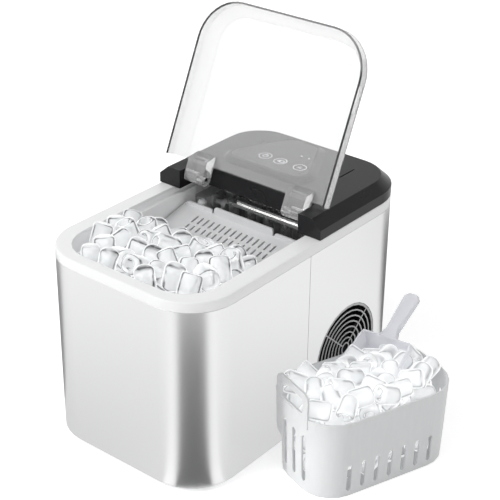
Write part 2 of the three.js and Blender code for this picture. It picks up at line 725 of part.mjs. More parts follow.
const LUG_OUTER = ARM_INNER - RUNNING_GAP - 0.7;
const LID_TAB = { y: [FRONT_Y + 63, FRONT_Y + 91], reach: 4, height: 3.5 };

// Built closed, in machine coordinates
function lid() {
  const shell = cut(lidForm(0, LID_BACK_Y), lidForm(LID_WALL, LID_BACK_Y + 1));
  const half = HALF_WIDTH - LID_SIDE_INSET;
  const roof = COVER_Z - LID_WALL + 0.5;
  const low = HINGE_Z - HINGE_EYE_RADIUS;
  const eye = arc(HINGE_Y, HINGE_Z, HINGE_EYE_RADIUS, -90, 180, 10).map(({ x, y }) => [x, y]);
  const lugOutline = [
    [LID_BACK_Y - 12, roof],
    [LID_BACK_Y - 4, low],
    ...eye,
    [LID_BACK_Y, COVER_Z - 1],
  ];
  const lugs = [-1, 1].map((side) => {
    const span = [side * LUG_OUTER, side * (LUG_OUTER - LID_LUG_WIDTH)].sort((a, b) => a - b);
    return sweptX(lugOutline, span);
  });
  const at = [0, HINGE_Y, HINGE_Z];
  const bores = [
    [HINGE_PIN_RADIUS, LID_LUG_WIDTH],
    [HINGE_BOSS_RADIUS, HINGE_BOSS_LENGTH],
  ].flatMap(([radius, depth]) => [-1, 1].map((side) => (
    rod('x', radius + RUNNING_GAP, [side * (LUG_OUTER + 1), side * (LUG_OUTER - depth - 1)], at)
  )));
  const tab = block([half - 1, half + LID_TAB.reach], LID_TAB.y, [LID_LOW_Z, LID_LOW_Z + LID_TAB.height]);
  return cut(join(shell, ...lugs, tab), ...bores);
}

function hingePin(side) {
  const wall = ARM_INNER + COVER_WALL;
  const steps = [
    [HINGE_PIN_RADIUS, LUG_OUTER - LID_LUG_WIDTH, wall + 3],
    [HINGE_BOSS_RADIUS, LUG_OUTER - HINGE_BOSS_LENGTH, ARM_INNER - SEAT_GAP],
    [HINGE_PIN_RADIUS + 1, wall + SEAT_GAP, wall + 3],
  ];
  return join(...steps.map(([radius, from, to]) => (
    rod('x', radius, [side * from, side * to], [0, HINGE_Y, HINGE_Z], 16)
  )));
}

// ---------------------------------------------------------------- fan side

const FAN_CENTRE = [0, VENT_Y, VENT_Z];
const FAN_TIP_RADIUS = DUCT_BORE - FAN_TIP_GAP;

// Concentric rings crossed by an X of spokes, with a flange behind the steel
function fanGrille() {
  const outer = VENT_RADIUS - GRILLE_COLLAR;
  const pitch = outer / GRILLE_RINGS;
  const rings = Array.from({ length: GRILLE_RINGS }, (_, i) => {
    const radius = pitch * (i + 1);
    return hoop(
      'x',
      radius - GRILLE_BAR / 2,
      radius + GRILLE_BAR / 2,
      GRILLE_BACK_X,
      GRILLE_FACE_X,
      FAN_CENTRE,
      i < 3 ? 16 : 28,
    );
  });
  const flangeFront = CASING_INNER - SEAT_GAP;
  const collar = hoop('x', outer, VENT_RADIUS - 0.2, flangeFront - 1.5, GRILLE_FACE_X, FAN_CENTRE, 28);
  const flange = hoop('x', outer, VENT_RADIUS + GRILLE_FLANGE, flangeFront - 1.6, flangeFront, FAN_CENTRE, 28);
  const spokes = [GRILLE_SPOKE_ANGLE, -GRILLE_SPOKE_ANGLE].flatMap((angle) => [-1, 1].map((end) => {
    const length = outer - pitch;
    const bar = new THREE.BoxGeometry(GRILLE_DEPTH - 0.6, length, GRILLE_BAR);
    bar.translate(0, end * (pitch + length / 2), 0);
    bar.rotateX(radians(angle));
    return solid(bar.translate((GRILLE_BACK_X + GRILLE_FACE_X) / 2, VENT_Y, VENT_Z));
  }));
  return join(collar, flange, ...rings, ...spokes);
}

// Sickle-shaped blade: root at the hub, tip on the circle, turned to its pitch
function fanBladeForm(turn) {
  const root = FAN_HUB_RADIUS - 1.5;
  const lead = radians(-24);
  const trail = radians(13);
  const outline = new THREE.Shape();
  outline.moveTo(root, -7);
  outline.quadraticCurveTo(29, -17, FAN_TIP_RADIUS * Math.cos(lead), FAN_TIP_RADIUS * Math.sin(lead));
  outline.absarc(0, 0, FAN_TIP_RADIUS, lead, trail, false);
  outline.quadraticCurveTo(28, 3, root, 6);
  const blade = new THREE.ExtrudeGeometry(outline, { depth: 1.6, bevelEnabled: false, curveSegments: 5 });
  blade.translate(0, 0, -0.8).rotateX(radians(FAN_PITCH)).rotateZ(turn).rotateY(Math.PI / 2);
  return solid(blade.translate(FAN_HUB_X + FAN_HUB_LENGTH / 2, VENT_Y, VENT_Z));
}

function fanBlade() {
  const hub = turned('x', [
    [0, FAN_HUB_X],
    [FAN_HUB_RADIUS, FAN_HUB_X],
    [FAN_HUB_RADIUS, FAN_HUB_X + FAN_HUB_LENGTH - 3],
    [FAN_HUB_RADIUS - 4, FAN_HUB_X + FAN_HUB_LENGTH],
    [0, FAN_HUB_X + FAN_HUB_LENGTH],
  ], FAN_CENTRE, 24);
  const blades = Array.from({ length: FAN_BLADES }, (_, i) => fanBladeForm((i * 2 * Math.PI) / FAN_BLADES));
  const bore = rod(
    'x',
    FAN_SHAFT_RADIUS + SEAT_GAP,
    [FAN_HUB_X - 1, FAN_HUB_X + FAN_HUB_LENGTH - 4],
    FAN_CENTRE,
    12,
  );
  return cut(join(hub, ...blades), bore);
}

function fanShaft() {
  return rod(
    'x',
    FAN_SHAFT_RADIUS,
    [MOTOR_FRONT_X - 6, FAN_HUB_X + FAN_HUB_LENGTH - 4 - SEAT_GAP],
    FAN_CENTRE,
    12,
  );
}

function fanMotor() {
  const body = rod('x', FAN_MOTOR_RADIUS, [MOTOR_BACK_X, MOTOR_FRONT_X], FAN_CENTRE, 24);
  const bore = rod('x', FAN_SHAFT_RADIUS + RUNNING_GAP, [MOTOR_FRONT_X - 7, MOTOR_FRONT_X + 1], FAN_CENTRE, 12);
  return cut(body, bore);
}

// Square box against the condenser that turns into a round duct, with three arms that hold the motor
function fanShroud() {
  const half = CONDENSER_HALF;
  const back = CONDENSER_FRONT_X + SEAT_GAP;
  const front = SHROUD_FRONT_X;
  const low = PAN_Z + SEAT_GAP;
  const box = cut(
    block([back, front], [VENT_Y - half, VENT_Y + half], [low, CONDENSER_TOP_Z]),
    block([back - 1, front - 2], [VENT_Y - half + 2, VENT_Y + half - 2], [low + 2, CONDENSER_TOP_Z - 2]),
    rod('x', DUCT_BORE, [front - 3, front + 1], FAN_CENTRE, 28),
  );
  const duct = hoop('x', DUCT_BORE, DUCT_BORE + DUCT_WALL, front - 1, GRILLE_BACK_X - 1, FAN_CENTRE, 28);
  const seat = hoop('x', FAN_MOTOR_RADIUS + SEAT_GAP, FAN_MOTOR_RADIUS + 3, front - 8, front, FAN_CENTRE, 24);
  const arms = [90, 210, 330].map((angle) => {
    const reach = DUCT_BORE + 1 - FAN_MOTOR_RADIUS;
    const bar = new THREE.BoxGeometry(3, reach, 5);
    bar.translate(0, FAN_MOTOR_RADIUS + 1.5 + reach / 2, 0).rotateX(radians(angle));
    return solid(bar.translate(front - 1.5, VENT_Y, VENT_Z));
  });
  return join(box, duct, seat, ...arms);
}

// Finned block: thin plates on a core, tube bends at both ends
function condenser() {
  const half = CONDENSER_HALF;
  const front = CONDENSER_FRONT_X;
  const back = CONDENSER_BACK_X;
  const core = [back + 7, front - 7];
  const pitch = (2 * half - FIN_THICKNESS) / (CONDENSER_FINS - 1);
  const fins = Array.from({ length: CONDENSER_FINS }, (_, i) => VENT_Y - half + i * pitch);
  const shape = [];
  fins.forEach((y, i) => {
    shape.push([front, y], [front, y + FIN_THICKNESS]);
    if (i < CONDENSER_FINS - 1) shape.push([core[1], y + FIN_THICKNESS], [core[1], y + pitch]);
  });
  [...fins].reverse().forEach((y, i) => {
    shape.push([back, y + FIN_THICKNESS], [back, y]);
    if (i < CONDENSER_FINS - 1) shape.push([core[0], y], [core[0], y - pitch + FIN_THICKNESS]);
  });
  const outline = new THREE.Shape(shape.map(([x, y]) => new THREE.Vector2(x, y)));
  const low = PAN_Z + SEAT_GAP;
  const slab = new THREE.ExtrudeGeometry(outline, { depth: CONDENSER_TOP_Z - low, bevelEnabled: false });
  const middle = (core[0] + core[1]) / 2;
  const bends = [0, 1, 2].map((i) => {
    const z = VENT_Z - 34 + i * 30;
    const y = VENT_Y + half - 1;
    const route = [[-1, 0], [7, 2], [7, 13], [-1, 15]].map(([out, up]) => [middle, y + out, z + up]);
    return pipe(route, 2.6, 10);
  });
  return join(solid(slab.translate(0, 0, low)), ...bends);
}

// ---------------------------------------------------------------- compressor and pipework

const GROMMET_SPOTS = [-1, 1].flatMap((back) => [-1, 1].map((right) => ({
  name: `compressor_grommet_${back < 0 ? 'front' : 'rear'}_${right < 0 ? 'left' : 'right'}`,
  x: COMPRESSOR_X + right * (COMPRESSOR_FOOT_X - 8),
  y: COMPRESSOR_Y + back * (COMPRESSOR_FOOT_Y - 7),
})));

function compressor() {
  const low = COMPRESSOR_BASE_Z;
  const r = COMPRESSOR_RADIUS;
  const can = turned('z', [
    [0, low + 3],
    [r * 0.8, low + 3],
    [r, low + 16],
    [r, low + 52],
    [r + 2, low + 54],
    [r + 2, low + 57],
    [r, low + 59],
    [r * 0.98, low + COMPRESSOR_HEIGHT - 22],
    [r * 0.8, low + COMPRESSOR_HEIGHT - 8],
    [r * 0.45, low + COMPRESSOR_HEIGHT - 1],
    [0, low + COMPRESSOR_HEIGHT],
  ], [COMPRESSOR_X, COMPRESSOR_Y, 0], 24);
  const footPlate = block(
    [COMPRESSOR_X - COMPRESSOR_FOOT_X, COMPRESSOR_X + COMPRESSOR_FOOT_X],
    [COMPRESSOR_Y - COMPRESSOR_FOOT_Y, COMPRESSOR_Y + COMPRESSOR_FOOT_Y],
    [low, low + 4],
  );
  const terminals = block(
    [COMPRESSOR_X - r - 7, COMPRESSOR_X - r + 6],
    [COMPRESSOR_Y - 16, COMPRESSOR_Y + 16],
    [low + 26, low + 62],
  );
  const holes = GROMMET_SPOTS.map(({ x, y }) => rod('z', 4.5, [low - 1, low + 5], [x, y, 0], 16));
  return cut(join(can, footPlate, terminals), ...holes);
}

// Rubber bush: stands on the pan, its neck passes through the compressor's foot
function grommet() {
  const low = PAN_Z + SEAT_GAP;
  const shoulder = low + GROMMET_HEIGHT;
  return turned('z', [
    [0, low],
    [8, low],
    [8, shoulder],
    [4, shoulder],
    [4, shoulder + 6],
    [0, shoulder + 6],
  ], [0, 0, 0], 16);
}

const CONDENSER_MIDDLE_X = CONDENSER_FRONT_X - CONDENSER_THICKNESS / 2;
const DRIER = { x: HALF_WIDTH - 41.5, y: BACK_Y - 29, low: 48, high: 100, radius: 9 };
const COIL_Z = TRAY_Z + PLATE_RISE + PLATE_THICKNESS + COIL_RADIUS - 1.5;
const COIL_END_X = TRAY_RIGHT_X - 1;
const COIL_ROWS = [TRAY_Y - 9, TRAY_Y + 2];

function dischargePipe() {
  const x = COMPRESSOR_X + COMPRESSOR_RADIUS * 0.59;
  const y = COMPRESSOR_Y + COMPRESSOR_RADIUS * 0.23;
  const top = COOLING_TOP_Z;
  return pipe([
    [x, y, COMPRESSOR_TOP_Z - 3],
    [x, y, COMPRESSOR_TOP_Z + 2],
    [x + 3, y - 1, top + 10],
    [CONDENSER_MIDDLE_X - 6, VENT_Y + 37, top + 14],
    [CONDENSER_MIDDLE_X, VENT_Y + 36, top + 6],
    [CONDENSER_MIDDLE_X, VENT_Y + 36, CONDENSER_TOP_Z + 4],
    [CONDENSER_MIDDLE_X, VENT_Y + 36, CONDENSER_TOP_Z + SEAT_GAP],
  ], 2.6);
}

function filterDrier() {
  const { x, y, low, high, radius } = DRIER;
  return turned('z', [
    [0, low],
    [3, low],
    [radius, low + 7],
    [radius, high - 7],
    [3, high],
    [0, high],
  ], [x, y, 0], 20);
}

function liquidPipe() {
  const { x, y, low } = DRIER;
  const outlet = VENT_Y + CONDENSER_HALF + SEAT_GAP;
  return pipe([
    [CONDENSER_MIDDLE_X, outlet, 20],
    [CONDENSER_MIDDLE_X, outlet + 6, 20],
    [CONDENSER_MIDDLE_X + 6, outlet + 18, 20],
    [x - 3, y, 26],
    [x, y, low - 9],
    [x, y, low - 4],
    [x, y, low - SEAT_GAP],
  ], 2.4, 18);
}

function capillaryPipe() {
  const { x, y, high } = DRIER;
  return pipe([
    [x, y, high + SEAT_GAP],
    [x, y, high + 6],
    [x, y, high + 40],
    [x + 1, y - 6, RIM_Z - 36],
    [x + 2, TANK_BACK + 30, RIM_Z - 14],
    [x + 2, TANK_BACK + 27, RIM_Z],
    [x + 5, TANK_BACK + 18, RIM_Z + 12],
    [x + 10, TANK_BACK - 12, RIM_Z + 14],
    [TANK_HALF - 5, COIL_ROWS[0] + 8, RIM_Z + 6],
    [TANK_HALF - 5, COIL_ROWS[0], COIL_Z + 9],
    [TANK_HALF - 9, COIL_ROWS[0], COIL_Z],
    [COIL_END_X + 4, COIL_ROWS[0], COIL_Z],
    [COIL_END_X + SEAT_GAP, COIL_ROWS[0], COIL_Z],
  ], 1.8, 34);
}

function suctionPipe() {
  return pipe([
    [COIL_END_X + SEAT_GAP, COIL_ROWS[1], COIL_Z],
    [COIL_END_X + 4, COIL_ROWS[1], COIL_Z],
    [TANK_HALF - 8, COIL_ROWS[1], COIL_Z + 1],
    [TANK_HALF - 5, COIL_ROWS[1] + 4, COIL_Z + 12],
    [TANK_HALF - 2, TANK_BACK - 12, RIM_Z + 5],
    [TANK_HALF - 2, TANK_BACK + 16, RIM_Z + 6],
    [TANK_HALF - 3, TANK_BACK + 27, RIM_Z - 4],
    [TANK_HALF - 8, TANK_BACK + 34, RIM_Z - 36],
    [CONDENSER_MIDDLE_X + 8, COMPRESSOR_Y + 30, COOLING_TOP_Z + 13],
    [CONDENSER_MIDDLE_X - 22, COMPRESSOR_Y + 26, COMPRESSOR_TOP_Z - 31],
    [COMPRESSOR_X + COMPRESSOR_RADIUS + 12, COMPRESSOR_Y + 4, COMPRESSOR_BASE_Z + 36],
    [COMPRESSOR_X + COMPRESSOR_RADIUS + 5, COMPRESSOR_Y, COMPRESSOR_BASE_Z + 36],
    [COMPRESSOR_X + COMPRESSOR_RADIUS + SEAT_GAP, COMPRESSOR_Y, COMPRESSOR_BASE_Z + 36],
  ], 3, 34);
}

// ---------------------------------------------------------------- evaporator, tray, motor, shovel, sensors

const PLATE_LEFT_X = TRAY_LEFT_X + TRAY_WALL + PLATE_END_MARGIN;
const PLATE_RIGHT_X = TRAY_RIGHT_X - TRAY_WALL - PLATE_END_MARGIN + 4;
const PLATE_Z = TRAY_Z + PLATE_RISE;
const TRAY_CENTRE_X = (TRAY_LEFT_X + TRAY_RIGHT_X) / 2;
const FINGER_PITCH = (TRAY_RIGHT_X - TRAY_LEFT_X - 2 * FINGER_END_ROOM) / (FINGERS_FRONT - 1);
const STRAP_WIDTH = 14;
const STRAP_OFFSETS = { left: -24, right: 36 };

function finger(x, y) {
  const low = PLATE_Z - FINGER_LENGTH;
  const nose = arc(0, low + FINGER_RADIUS, FINGER_RADIUS, -90, 90, 3)
    .map((point) => [Math.max(point.x, 0), point.y]);
  return turned('z', [...nose, [FINGER_RADIUS + 0.8, PLATE_Z + 1], [0, PLATE_Z + 1]], [x, y, 0], 10);
}

// Plate with two rows of freezing fingers under it and a hairpin of tube on top
function evaporator() {
  const plate = block(
    [PLATE_LEFT_X, PLATE_RIGHT_X],
    [TRAY_Y - PLATE_REACH, TRAY_Y - PLATE_REACH + PLATE_DEPTH],
    [PLATE_Z, PLATE_Z + PLATE_THICKNESS],
  );
  const row = (count, y) => Array.from({ length: count }, (_, i) => (
    finger(TRAY_CENTRE_X + (i - (count - 1) / 2) * FINGER_PITCH, y)
  ));
  const fingers = [
    ...row(FINGERS_FRONT, TRAY_Y - FINGER_ROW_SPACING / 2),
    ...row(FINGERS_BACK, TRAY_Y + FINGER_ROW_SPACING / 2),
  ];
  const [near, far] = COIL_ROWS;
  const turn = PLATE_LEFT_X + 10;
  const hairpin = pipe([
    [COIL_END_X, near, COIL_Z],
    [turn + 14, near, COIL_Z],
    [turn + 3, near + 1, COIL_Z],
    [turn, (near + far) / 2, COIL_Z],
    [turn + 3, far - 1, COIL_Z],
    [turn + 14, far, COIL_Z],
    [COIL_END_X, far, COIL_Z],
  ], COIL_RADIUS, 30);
  return join(plate, hairpin, ...fingers);
}

// Strap from the plate up and over the turning tray to the deck of the top frame
function evaporatorStrap() {
  const rise = TRAY_Y + 11;
  const plateTop = PLATE_Z + PLATE_THICKNESS + SEAT_GAP;
  const deck = RIM_Z + SEAT_GAP;
  const over = Math.max(TRAY_Z + TRAY_RADIUS, deck) + 1;
  const end = TANK_BACK + 4;
  const sheet = 1.5;
  return [
    [rise, plateTop],
    [rise + 4.5, plateTop],
    [rise + 4.5, plateTop + sheet],
    [rise + sheet, plateTop + sheet],
    [rise + sheet, over],
    [end, over],
    [end, deck],
    [end + 12, deck],
    [end + 12, deck + sheet],
    [end + sheet, deck + sheet],
    [end + sheet, over + sheet],
    [rise, over + sheet],
  ];
}

// Half-round trough that turns about its own centre line
function waterTray() {
  const centre = [TRAY_Y, TRAY_Z];
  const section = [
    ...arc(...centre, TRAY_RADIUS, 180, 180, 16),
    ...arc(...centre, TRAY_RADIUS - TRAY_WALL, 360, -180, 16),
  ].map(({ x, y }) => [x, y]);
  const endSection = arc(...centre, TRAY_RADIUS, 180, 180, 16).map(({ x, y }) => [x, y]);
  const at = [0, TRAY_Y, TRAY_Z];
  const motorEnd = -TANK_HALF + 9;
  return join(
    sweptX(section, [TRAY_LEFT_X, TRAY_RIGHT_X]),
    sweptX(endSection, [TRAY_LEFT_X, TRAY_LEFT_X + TRAY_WALL + 1]),
    sweptX(endSection, [TRAY_RIGHT_X - TRAY_WALL - 1, TRAY_RIGHT_X]),
    rod('x', TRAY_SHAFT_RADIUS + 3, [TRAY_LEFT_X - 3, TRAY_LEFT_X + 3], at, 20),
    rod('x', TRAY_SHAFT_RADIUS + 3, [TRAY_RIGHT_X - 3, TRAY_RIGHT_X + 3], at, 20),
    rod('x', TRAY_SHAFT_RADIUS, [motorEnd, TRAY_LEFT_X + 3], at, 12),
    rod('x', TRAY_SHAFT_RADIUS, [TRAY_RIGHT_X - 3, TANK_HALF - 3], at, 12),
  );
}

const TRAY_MOTOR_X = [-TANK_HALF + SEAT_GAP, -TANK_HALF + 16];

function trayMotor() {
  const [outer, inner] = TRAY_MOTOR_X;
  const body = join(
    block([outer, inner], [TRAY_Y - TRAY_MOTOR_HALF, TRAY_Y + TRAY_MOTOR_HALF], [TRAY_Z - 26, TRAY_Z + 8]),
    rod('x', 8, [inner - 1, inner + 4], [0, TRAY_Y, TRAY_Z], 20),
  );
  const bore = rod('x', TRAY_SHAFT_RADIUS + RUNNING_GAP, [-TANK_HALF + 8, inner + 5], [0, TRAY_Y, TRAY_Z], 12);
  return cut(body, bore);
}

// Perforated plate on a front axle, with an upright back between two low ears
function iceShovel() {
  const half = TANK_HALF - CHEEK_WIDTH - 2;
  const corner = 7;
  const plate = new THREE.Shape([
    ...arc(half - corner, -2 + corner, corner, -90, 90, 4),
    new THREE.Vector2(half, SHOVEL_LENGTH),
    new THREE.Vector2(-half, SHOVEL_LENGTH),
    ...arc(-half + corner, -2 + corner, corner, 180, 90, 4),
  ]);
  const slotRows = [{ y: 14, length: 10 }, { y: 28, length: 13 }];
  for (const { y, length } of slotRows) {
    for (let i = 0; i < SHOVEL_SLOTS; i += 1) {
      const x = (i - (SHOVEL_SLOTS - 1) / 2) * SHOVEL_SLOT_PITCH;
      const reach = (length - SHOVEL_SLOT_WIDTH) / 2;
      plate.holes.push(new THREE.Path([
        ...arc(x, y + reach, SHOVEL_SLOT_WIDTH / 2, 0, 180, 2),
        ...arc(x, y - reach, SHOVEL_SLOT_WIDTH / 2, 180, 180, 2),
      ]));
    }
  }
  const sheet = new THREE.ExtrudeGeometry(plate, { depth: SHOVEL_THICKNESS, bevelEnabled: false });
  sheet.translate(0, 0, -SHOVEL_THICKNESS / 2).rotateX(radians(SHOVEL_SLOPE));
  const mid = SHOVEL_BACK_WIDTH / 2;
  const back = new THREE.Shape([
    new THREE.Vector2(-half, -2),
    new THREE.Vector2(half, -2),
    new THREE.Vector2(half, 1.5),
    ...arc(half - 8, 0, 5, 30, 60, 3),
    ...arc(mid + 5, 3, 2, 90, 90, 2),
    new THREE.Vector2(mid + 3, 0.8),
    new THREE.Vector2(mid, 0.8),
    ...arc(mid - 3, SHOVEL_BACK_HEIGHT - 3, 3, 0, 90, 4),
    ...arc(3 - mid, SHOVEL_BACK_HEIGHT - 3, 3, 90, 90, 4),
    new THREE.Vector2(-mid, 0.8),
    new THREE.Vector2(-mid - 3, 0.8),
    ...arc(-mid - 5, 3, 2, 0, 90, 2),
    ...arc(8 - half, 0, 5, 90, 60, 3),
    new THREE.Vector2(-half, 1.5),
  ]);
  const upright = new THREE.ExtrudeGeometry(back, { depth: SHOVEL_THICKNESS, bevelEnabled: false });
  upright.rotateX(Math.PI / 2).translate(0, SHOVEL_RUN, SHOVEL_RISE);
  const axle = rod('x', SHOVEL_AXLE_RADIUS, [-TANK_HALF + 1.5, TANK_HALF - 1.5], [0, 0, 0], 12);
  return join(solid(sheet), solid(upright), axle);
}

function sensorPost(radius, height) {
  return turned('z', [
    [0, 0],
    [radius + 2, 0],
    [radius + 2, 3],
    [radius, 5],
    [radius, height - 3],
    [radius - 1.5, height - 0.8],
    [radius - 3, height],
    [0, height],
  ], [0, 0, 0], 20);
}

// ---------------------------------------------------------------- water circuit

const HOSE_RADIUS = 4.5;
const HOSE_LANE_X = 8.5 - CASING_INNER;
const PUMP_TOP_Z = 40;

function waterPump() {
  const low = PAN_Z + SEAT_GAP;
  return join(
    turned('z', [
      [0, low],
      [17, low],
      [17, low + 22],
      [14, low + 26],
      [NIPPLE_RADIUS, low + 26],
      [NIPPLE_RADIUS, PUMP_TOP_Z + 5],
      [0, PUMP_TOP_Z + 5],
    ], [PUMP_X, PUMP_Y, 0], 24),
    rod('x', 4, [PUMP_X - 24, PUMP_X - 12], [0, PUMP_Y, 22], 12),
  );
}

// Sleeve over the tank's outlet nipple and the pump's inlet
function inletHose() {
  const tankEnd = RESERVOIR_FLOOR_Z - TANK_WALL - NIPPLE_LENGTH;
  const inner = NIPPLE_RADIUS + SEAT_GAP;
  return hoop('z', inner, inner + 1.5, PUMP_TOP_Z - 1, tankEnd + 5, [PUMP_X, PUMP_Y, 0], 16);
}

function fillHose() {
  return pipe([
    [PUMP_X - 24 - SEAT_GAP, PUMP_Y, 22],
    [PUMP_X - 30, PUMP_Y, 22],
    [PUMP_X - 42, PUMP_Y + 6, 24],
    [HOSE_LANE_X + 4, -40, 38],
    [HOSE_LANE_X, 40, 42],
    [HOSE_LANE_X, HOSE_RISE.y - 20, 44],
    [HOSE_RISE.x - 3, HOSE_RISE.y + 2, 70],
    [HOSE_RISE.x, HOSE_RISE.y, 120],
    [HOSE_RISE.x, HOSE_RISE.y, 170],
    [HOSE_RISE.x, HOSE_RISE.y, RIM_Z - 4],
    [HOSE_RISE.x + 4, HOSE_RISE.y - 6, RIM_Z + 7],
    [TRAY_LEFT_X - 16, TRAY_Y + 35, RIM_Z + 10],
    [TRAY_LEFT_X + 2, TRAY_Y + 11, RIM_Z + 10],
    [TRAY_LEFT_X + 7, TRAY_Y + 1, RIM_Z + 4],
    [TRAY_LEFT_X + 7, TRAY_Y - 3, RIM_Z - 12],
  ], HOSE_RADIUS, 40);
}

function drainHose() {
  const top = RESERVOIR_FLOOR_Z - TANK_WALL - NIPPLE_LENGTH - SEAT_GAP;
  const [x, y] = [DRAIN_NIPPLE_X, DRAIN_NIPPLE_Y];
  const cornerX = COMPRESSOR_X - COMPRESSOR_FOOT_X;
  const cornerY = COMPRESSOR_Y + COMPRESSOR_FOOT_Y;
  return pipe([
    [x, y, top],
    [x, y, top - 5],
    [x - 1, y + 1, top - 16],
    [HOSE_LANE_X + 16, -20, 22],
    [HOSE_LANE_X + 3, 30, 17],
    [HOSE_LANE_X + 3, BACK_Y - 71, 17],
    [cornerX - 11, cornerY - 4, 18],
    [cornerX + 9, cornerY + 12, 21],
    [DRAIN_X - 8, BACK_Y - 17, DRAIN_Z],
    [DRAIN_X, BACK_Y - 14, DRAIN_Z],
    [DRAIN_X, BACK_Y - 11, DRAIN_Z],
    [DRAIN_X, BACK_Y - 8 - SEAT_GAP, DRAIN_Z],
  ], HOSE_RADIUS, 30);
}

// Spout through the steel back, with an outside flange
function drainSpout() {
  const face = BACK_Y;
  return turned('y', [
    [4.5, face - 8],
    [SPOUT_RADIUS, face - 8],
    [SPOUT_RADIUS, face + SEAT_GAP],
    [SPOUT_RADIUS + 3, face + SEAT_GAP],
    [SPOUT_RADIUS + 3, face + 2],
    [4.5, face + 2],
    [4.5, face - 8],
  ], [DRAIN_X, 0, DRAIN_Z], 16);
}

function drainPlug() {
  const face = BACK_Y + 2 + SEAT_GAP;
  const stopper = turned('y', [
    [0, face - 8],
    [3.4, face - 8],
    [4.5 - SEAT_GAP, face - 6],
    [4.5 - SEAT_GAP, face],
    [SPOUT_RADIUS + 1.5, face],
    [SPOUT_RADIUS + 1.5, face + 2.5],
    [0, face + 2.5],
  ], [DRAIN_X, 0, DRAIN_Z], 20);
  const grip = block([DRAIN_X - 1.5, DRAIN_X + 1.5], [face + 2, face + 9], [DRAIN_Z - 6, DRAIN_Z + 6]);
  return join(stopper, grip);
}

// Strain-relief gland for the mains cord
function cordGland() {
  const face = BACK_Y;
  return turned('y', [
    [3.2, face - 8],
    [GLAND_RADIUS, face - 8],
    [GLAND_RADIUS, face + SEAT_GAP],
    [GLAND_RADIUS + 2.5, face + SEAT_GAP],
    [GLAND_RADIUS + 1.5, face + 3],
    [5, face + 4],
    [3.2, face + 4],
    [3.2, face - 8],
  ], [CORD_X, 0, CORD_Z], 16);
}

// Open box against the back sheet, with the power board in it
const POWER_BOX = { width: 47, depth: 26, low: 106, high: 190, wall: 2 };
const POWER_BOX_RIGHT = HALF_WIDTH - BACK_CORNER_RADIUS - 1.5;
const POWER_BOX_LEFT = POWER_BOX_RIGHT - POWER_BOX.width;
const POWER_BOX_BACK = BACK_Y - SHEET_THICKNESS - SEAT_GAP;
const POWER_BOX_FLOOR = POWER_BOX_BACK - POWER_BOX.depth + POWER_BOX.wall;

function powerBox() {
  const { low, high, wall, depth } = POWER_BOX;
  return cut(
    block([POWER_BOX_LEFT, POWER_BOX_RIGHT], [POWER_BOX_BACK - depth, POWER_BOX_BACK], [low, high]),
    block(
      [POWER_BOX_LEFT + wall, POWER_BOX_RIGHT - wall],
      [POWER_BOX_FLOOR, POWER_BOX_BACK + 1],
      [low + wall, high - wall],
    ),
  );
}

function powerBoard() {
  const { low, high } = POWER_BOX;
  const face = POWER_BOX_FLOOR + SEAT_GAP;
  const left = POWER_BOX_LEFT + 4;
  return join(
    block([left, POWER_BOX_RIGHT - 4], [face, face + 2], [low + 4, high - 4]),
    block([left + 5, left + 31], [face + 1, face + 16], [low + 12, low + 38]),
    block([left + 10, left + 30], [face + 1, face + 12], [low + 50, low + 72]),
  );
}

// ---------------------------------------------------------------- basket and scoop

const BASKET_X_REACH = (BASKET_LENGTH / 2 - BASKET_RADIUS) * Math.cos(radians(BASKET_TURN))
  + (BASKET_WIDTH / 2 - BASKET_RADIUS) * Math.sin(radians(BASKET_TURN)) + BASKET_RADIUS;
const BASKET_X = HALF_WIDTH + BASKET_SIDE_GAP + BASKET_X_REACH;

// Basket outline in its own axes: length along X, the stepped side at +Y
function basketRing(inset, step) {
  return roundedRing({
    left: -BASKET_LENGTH / 2,
    right: BASKET_LENGTH / 2,
    front: -BASKET_WIDTH / 2,
    back: BASKET_WIDTH / 2 - step,
    frontRadius: BASKET_RADIUS,
    backRadius: BASKET_RADIUS,
  }, inset, 5);
}

function basketForm(inset, low, high) {
  return loft([
    [low, basketRing(inset + BASKET_TAPER, BASKET_STEP)],
    [BASKET_STEP_Z, basketRing(inset + BASKET_TAPER / 2, BASKET_STEP)],
    [BASKET_STEP_Z + 6, basketRing(inset + BASKET_TAPER / 2, 0)],
    [high, basketRing(inset, 0)],
  ]);
}

// Upright slot with round ends, as a bar that crosses the wall
function slotTool(along, at, low, high, reach) {
  const r = BASKET_SLOT_WIDTH / 2;
  const outline = [...arc(at, high - r, r, 0, 180, 2), ...arc(at, low + r, r, 180, 180, 2)];
  const depth = reach[1] - reach[0];
  const bar = new THREE.ExtrudeGeometry(new THREE.Shape(outline), { depth, bevelEnabled: false });
  bar.rotateX(Math.PI / 2).translate(0, reach[1], 0);
  if (along === 'y') bar.rotateZ(Math.PI / 2);
  return solid(bar);
}

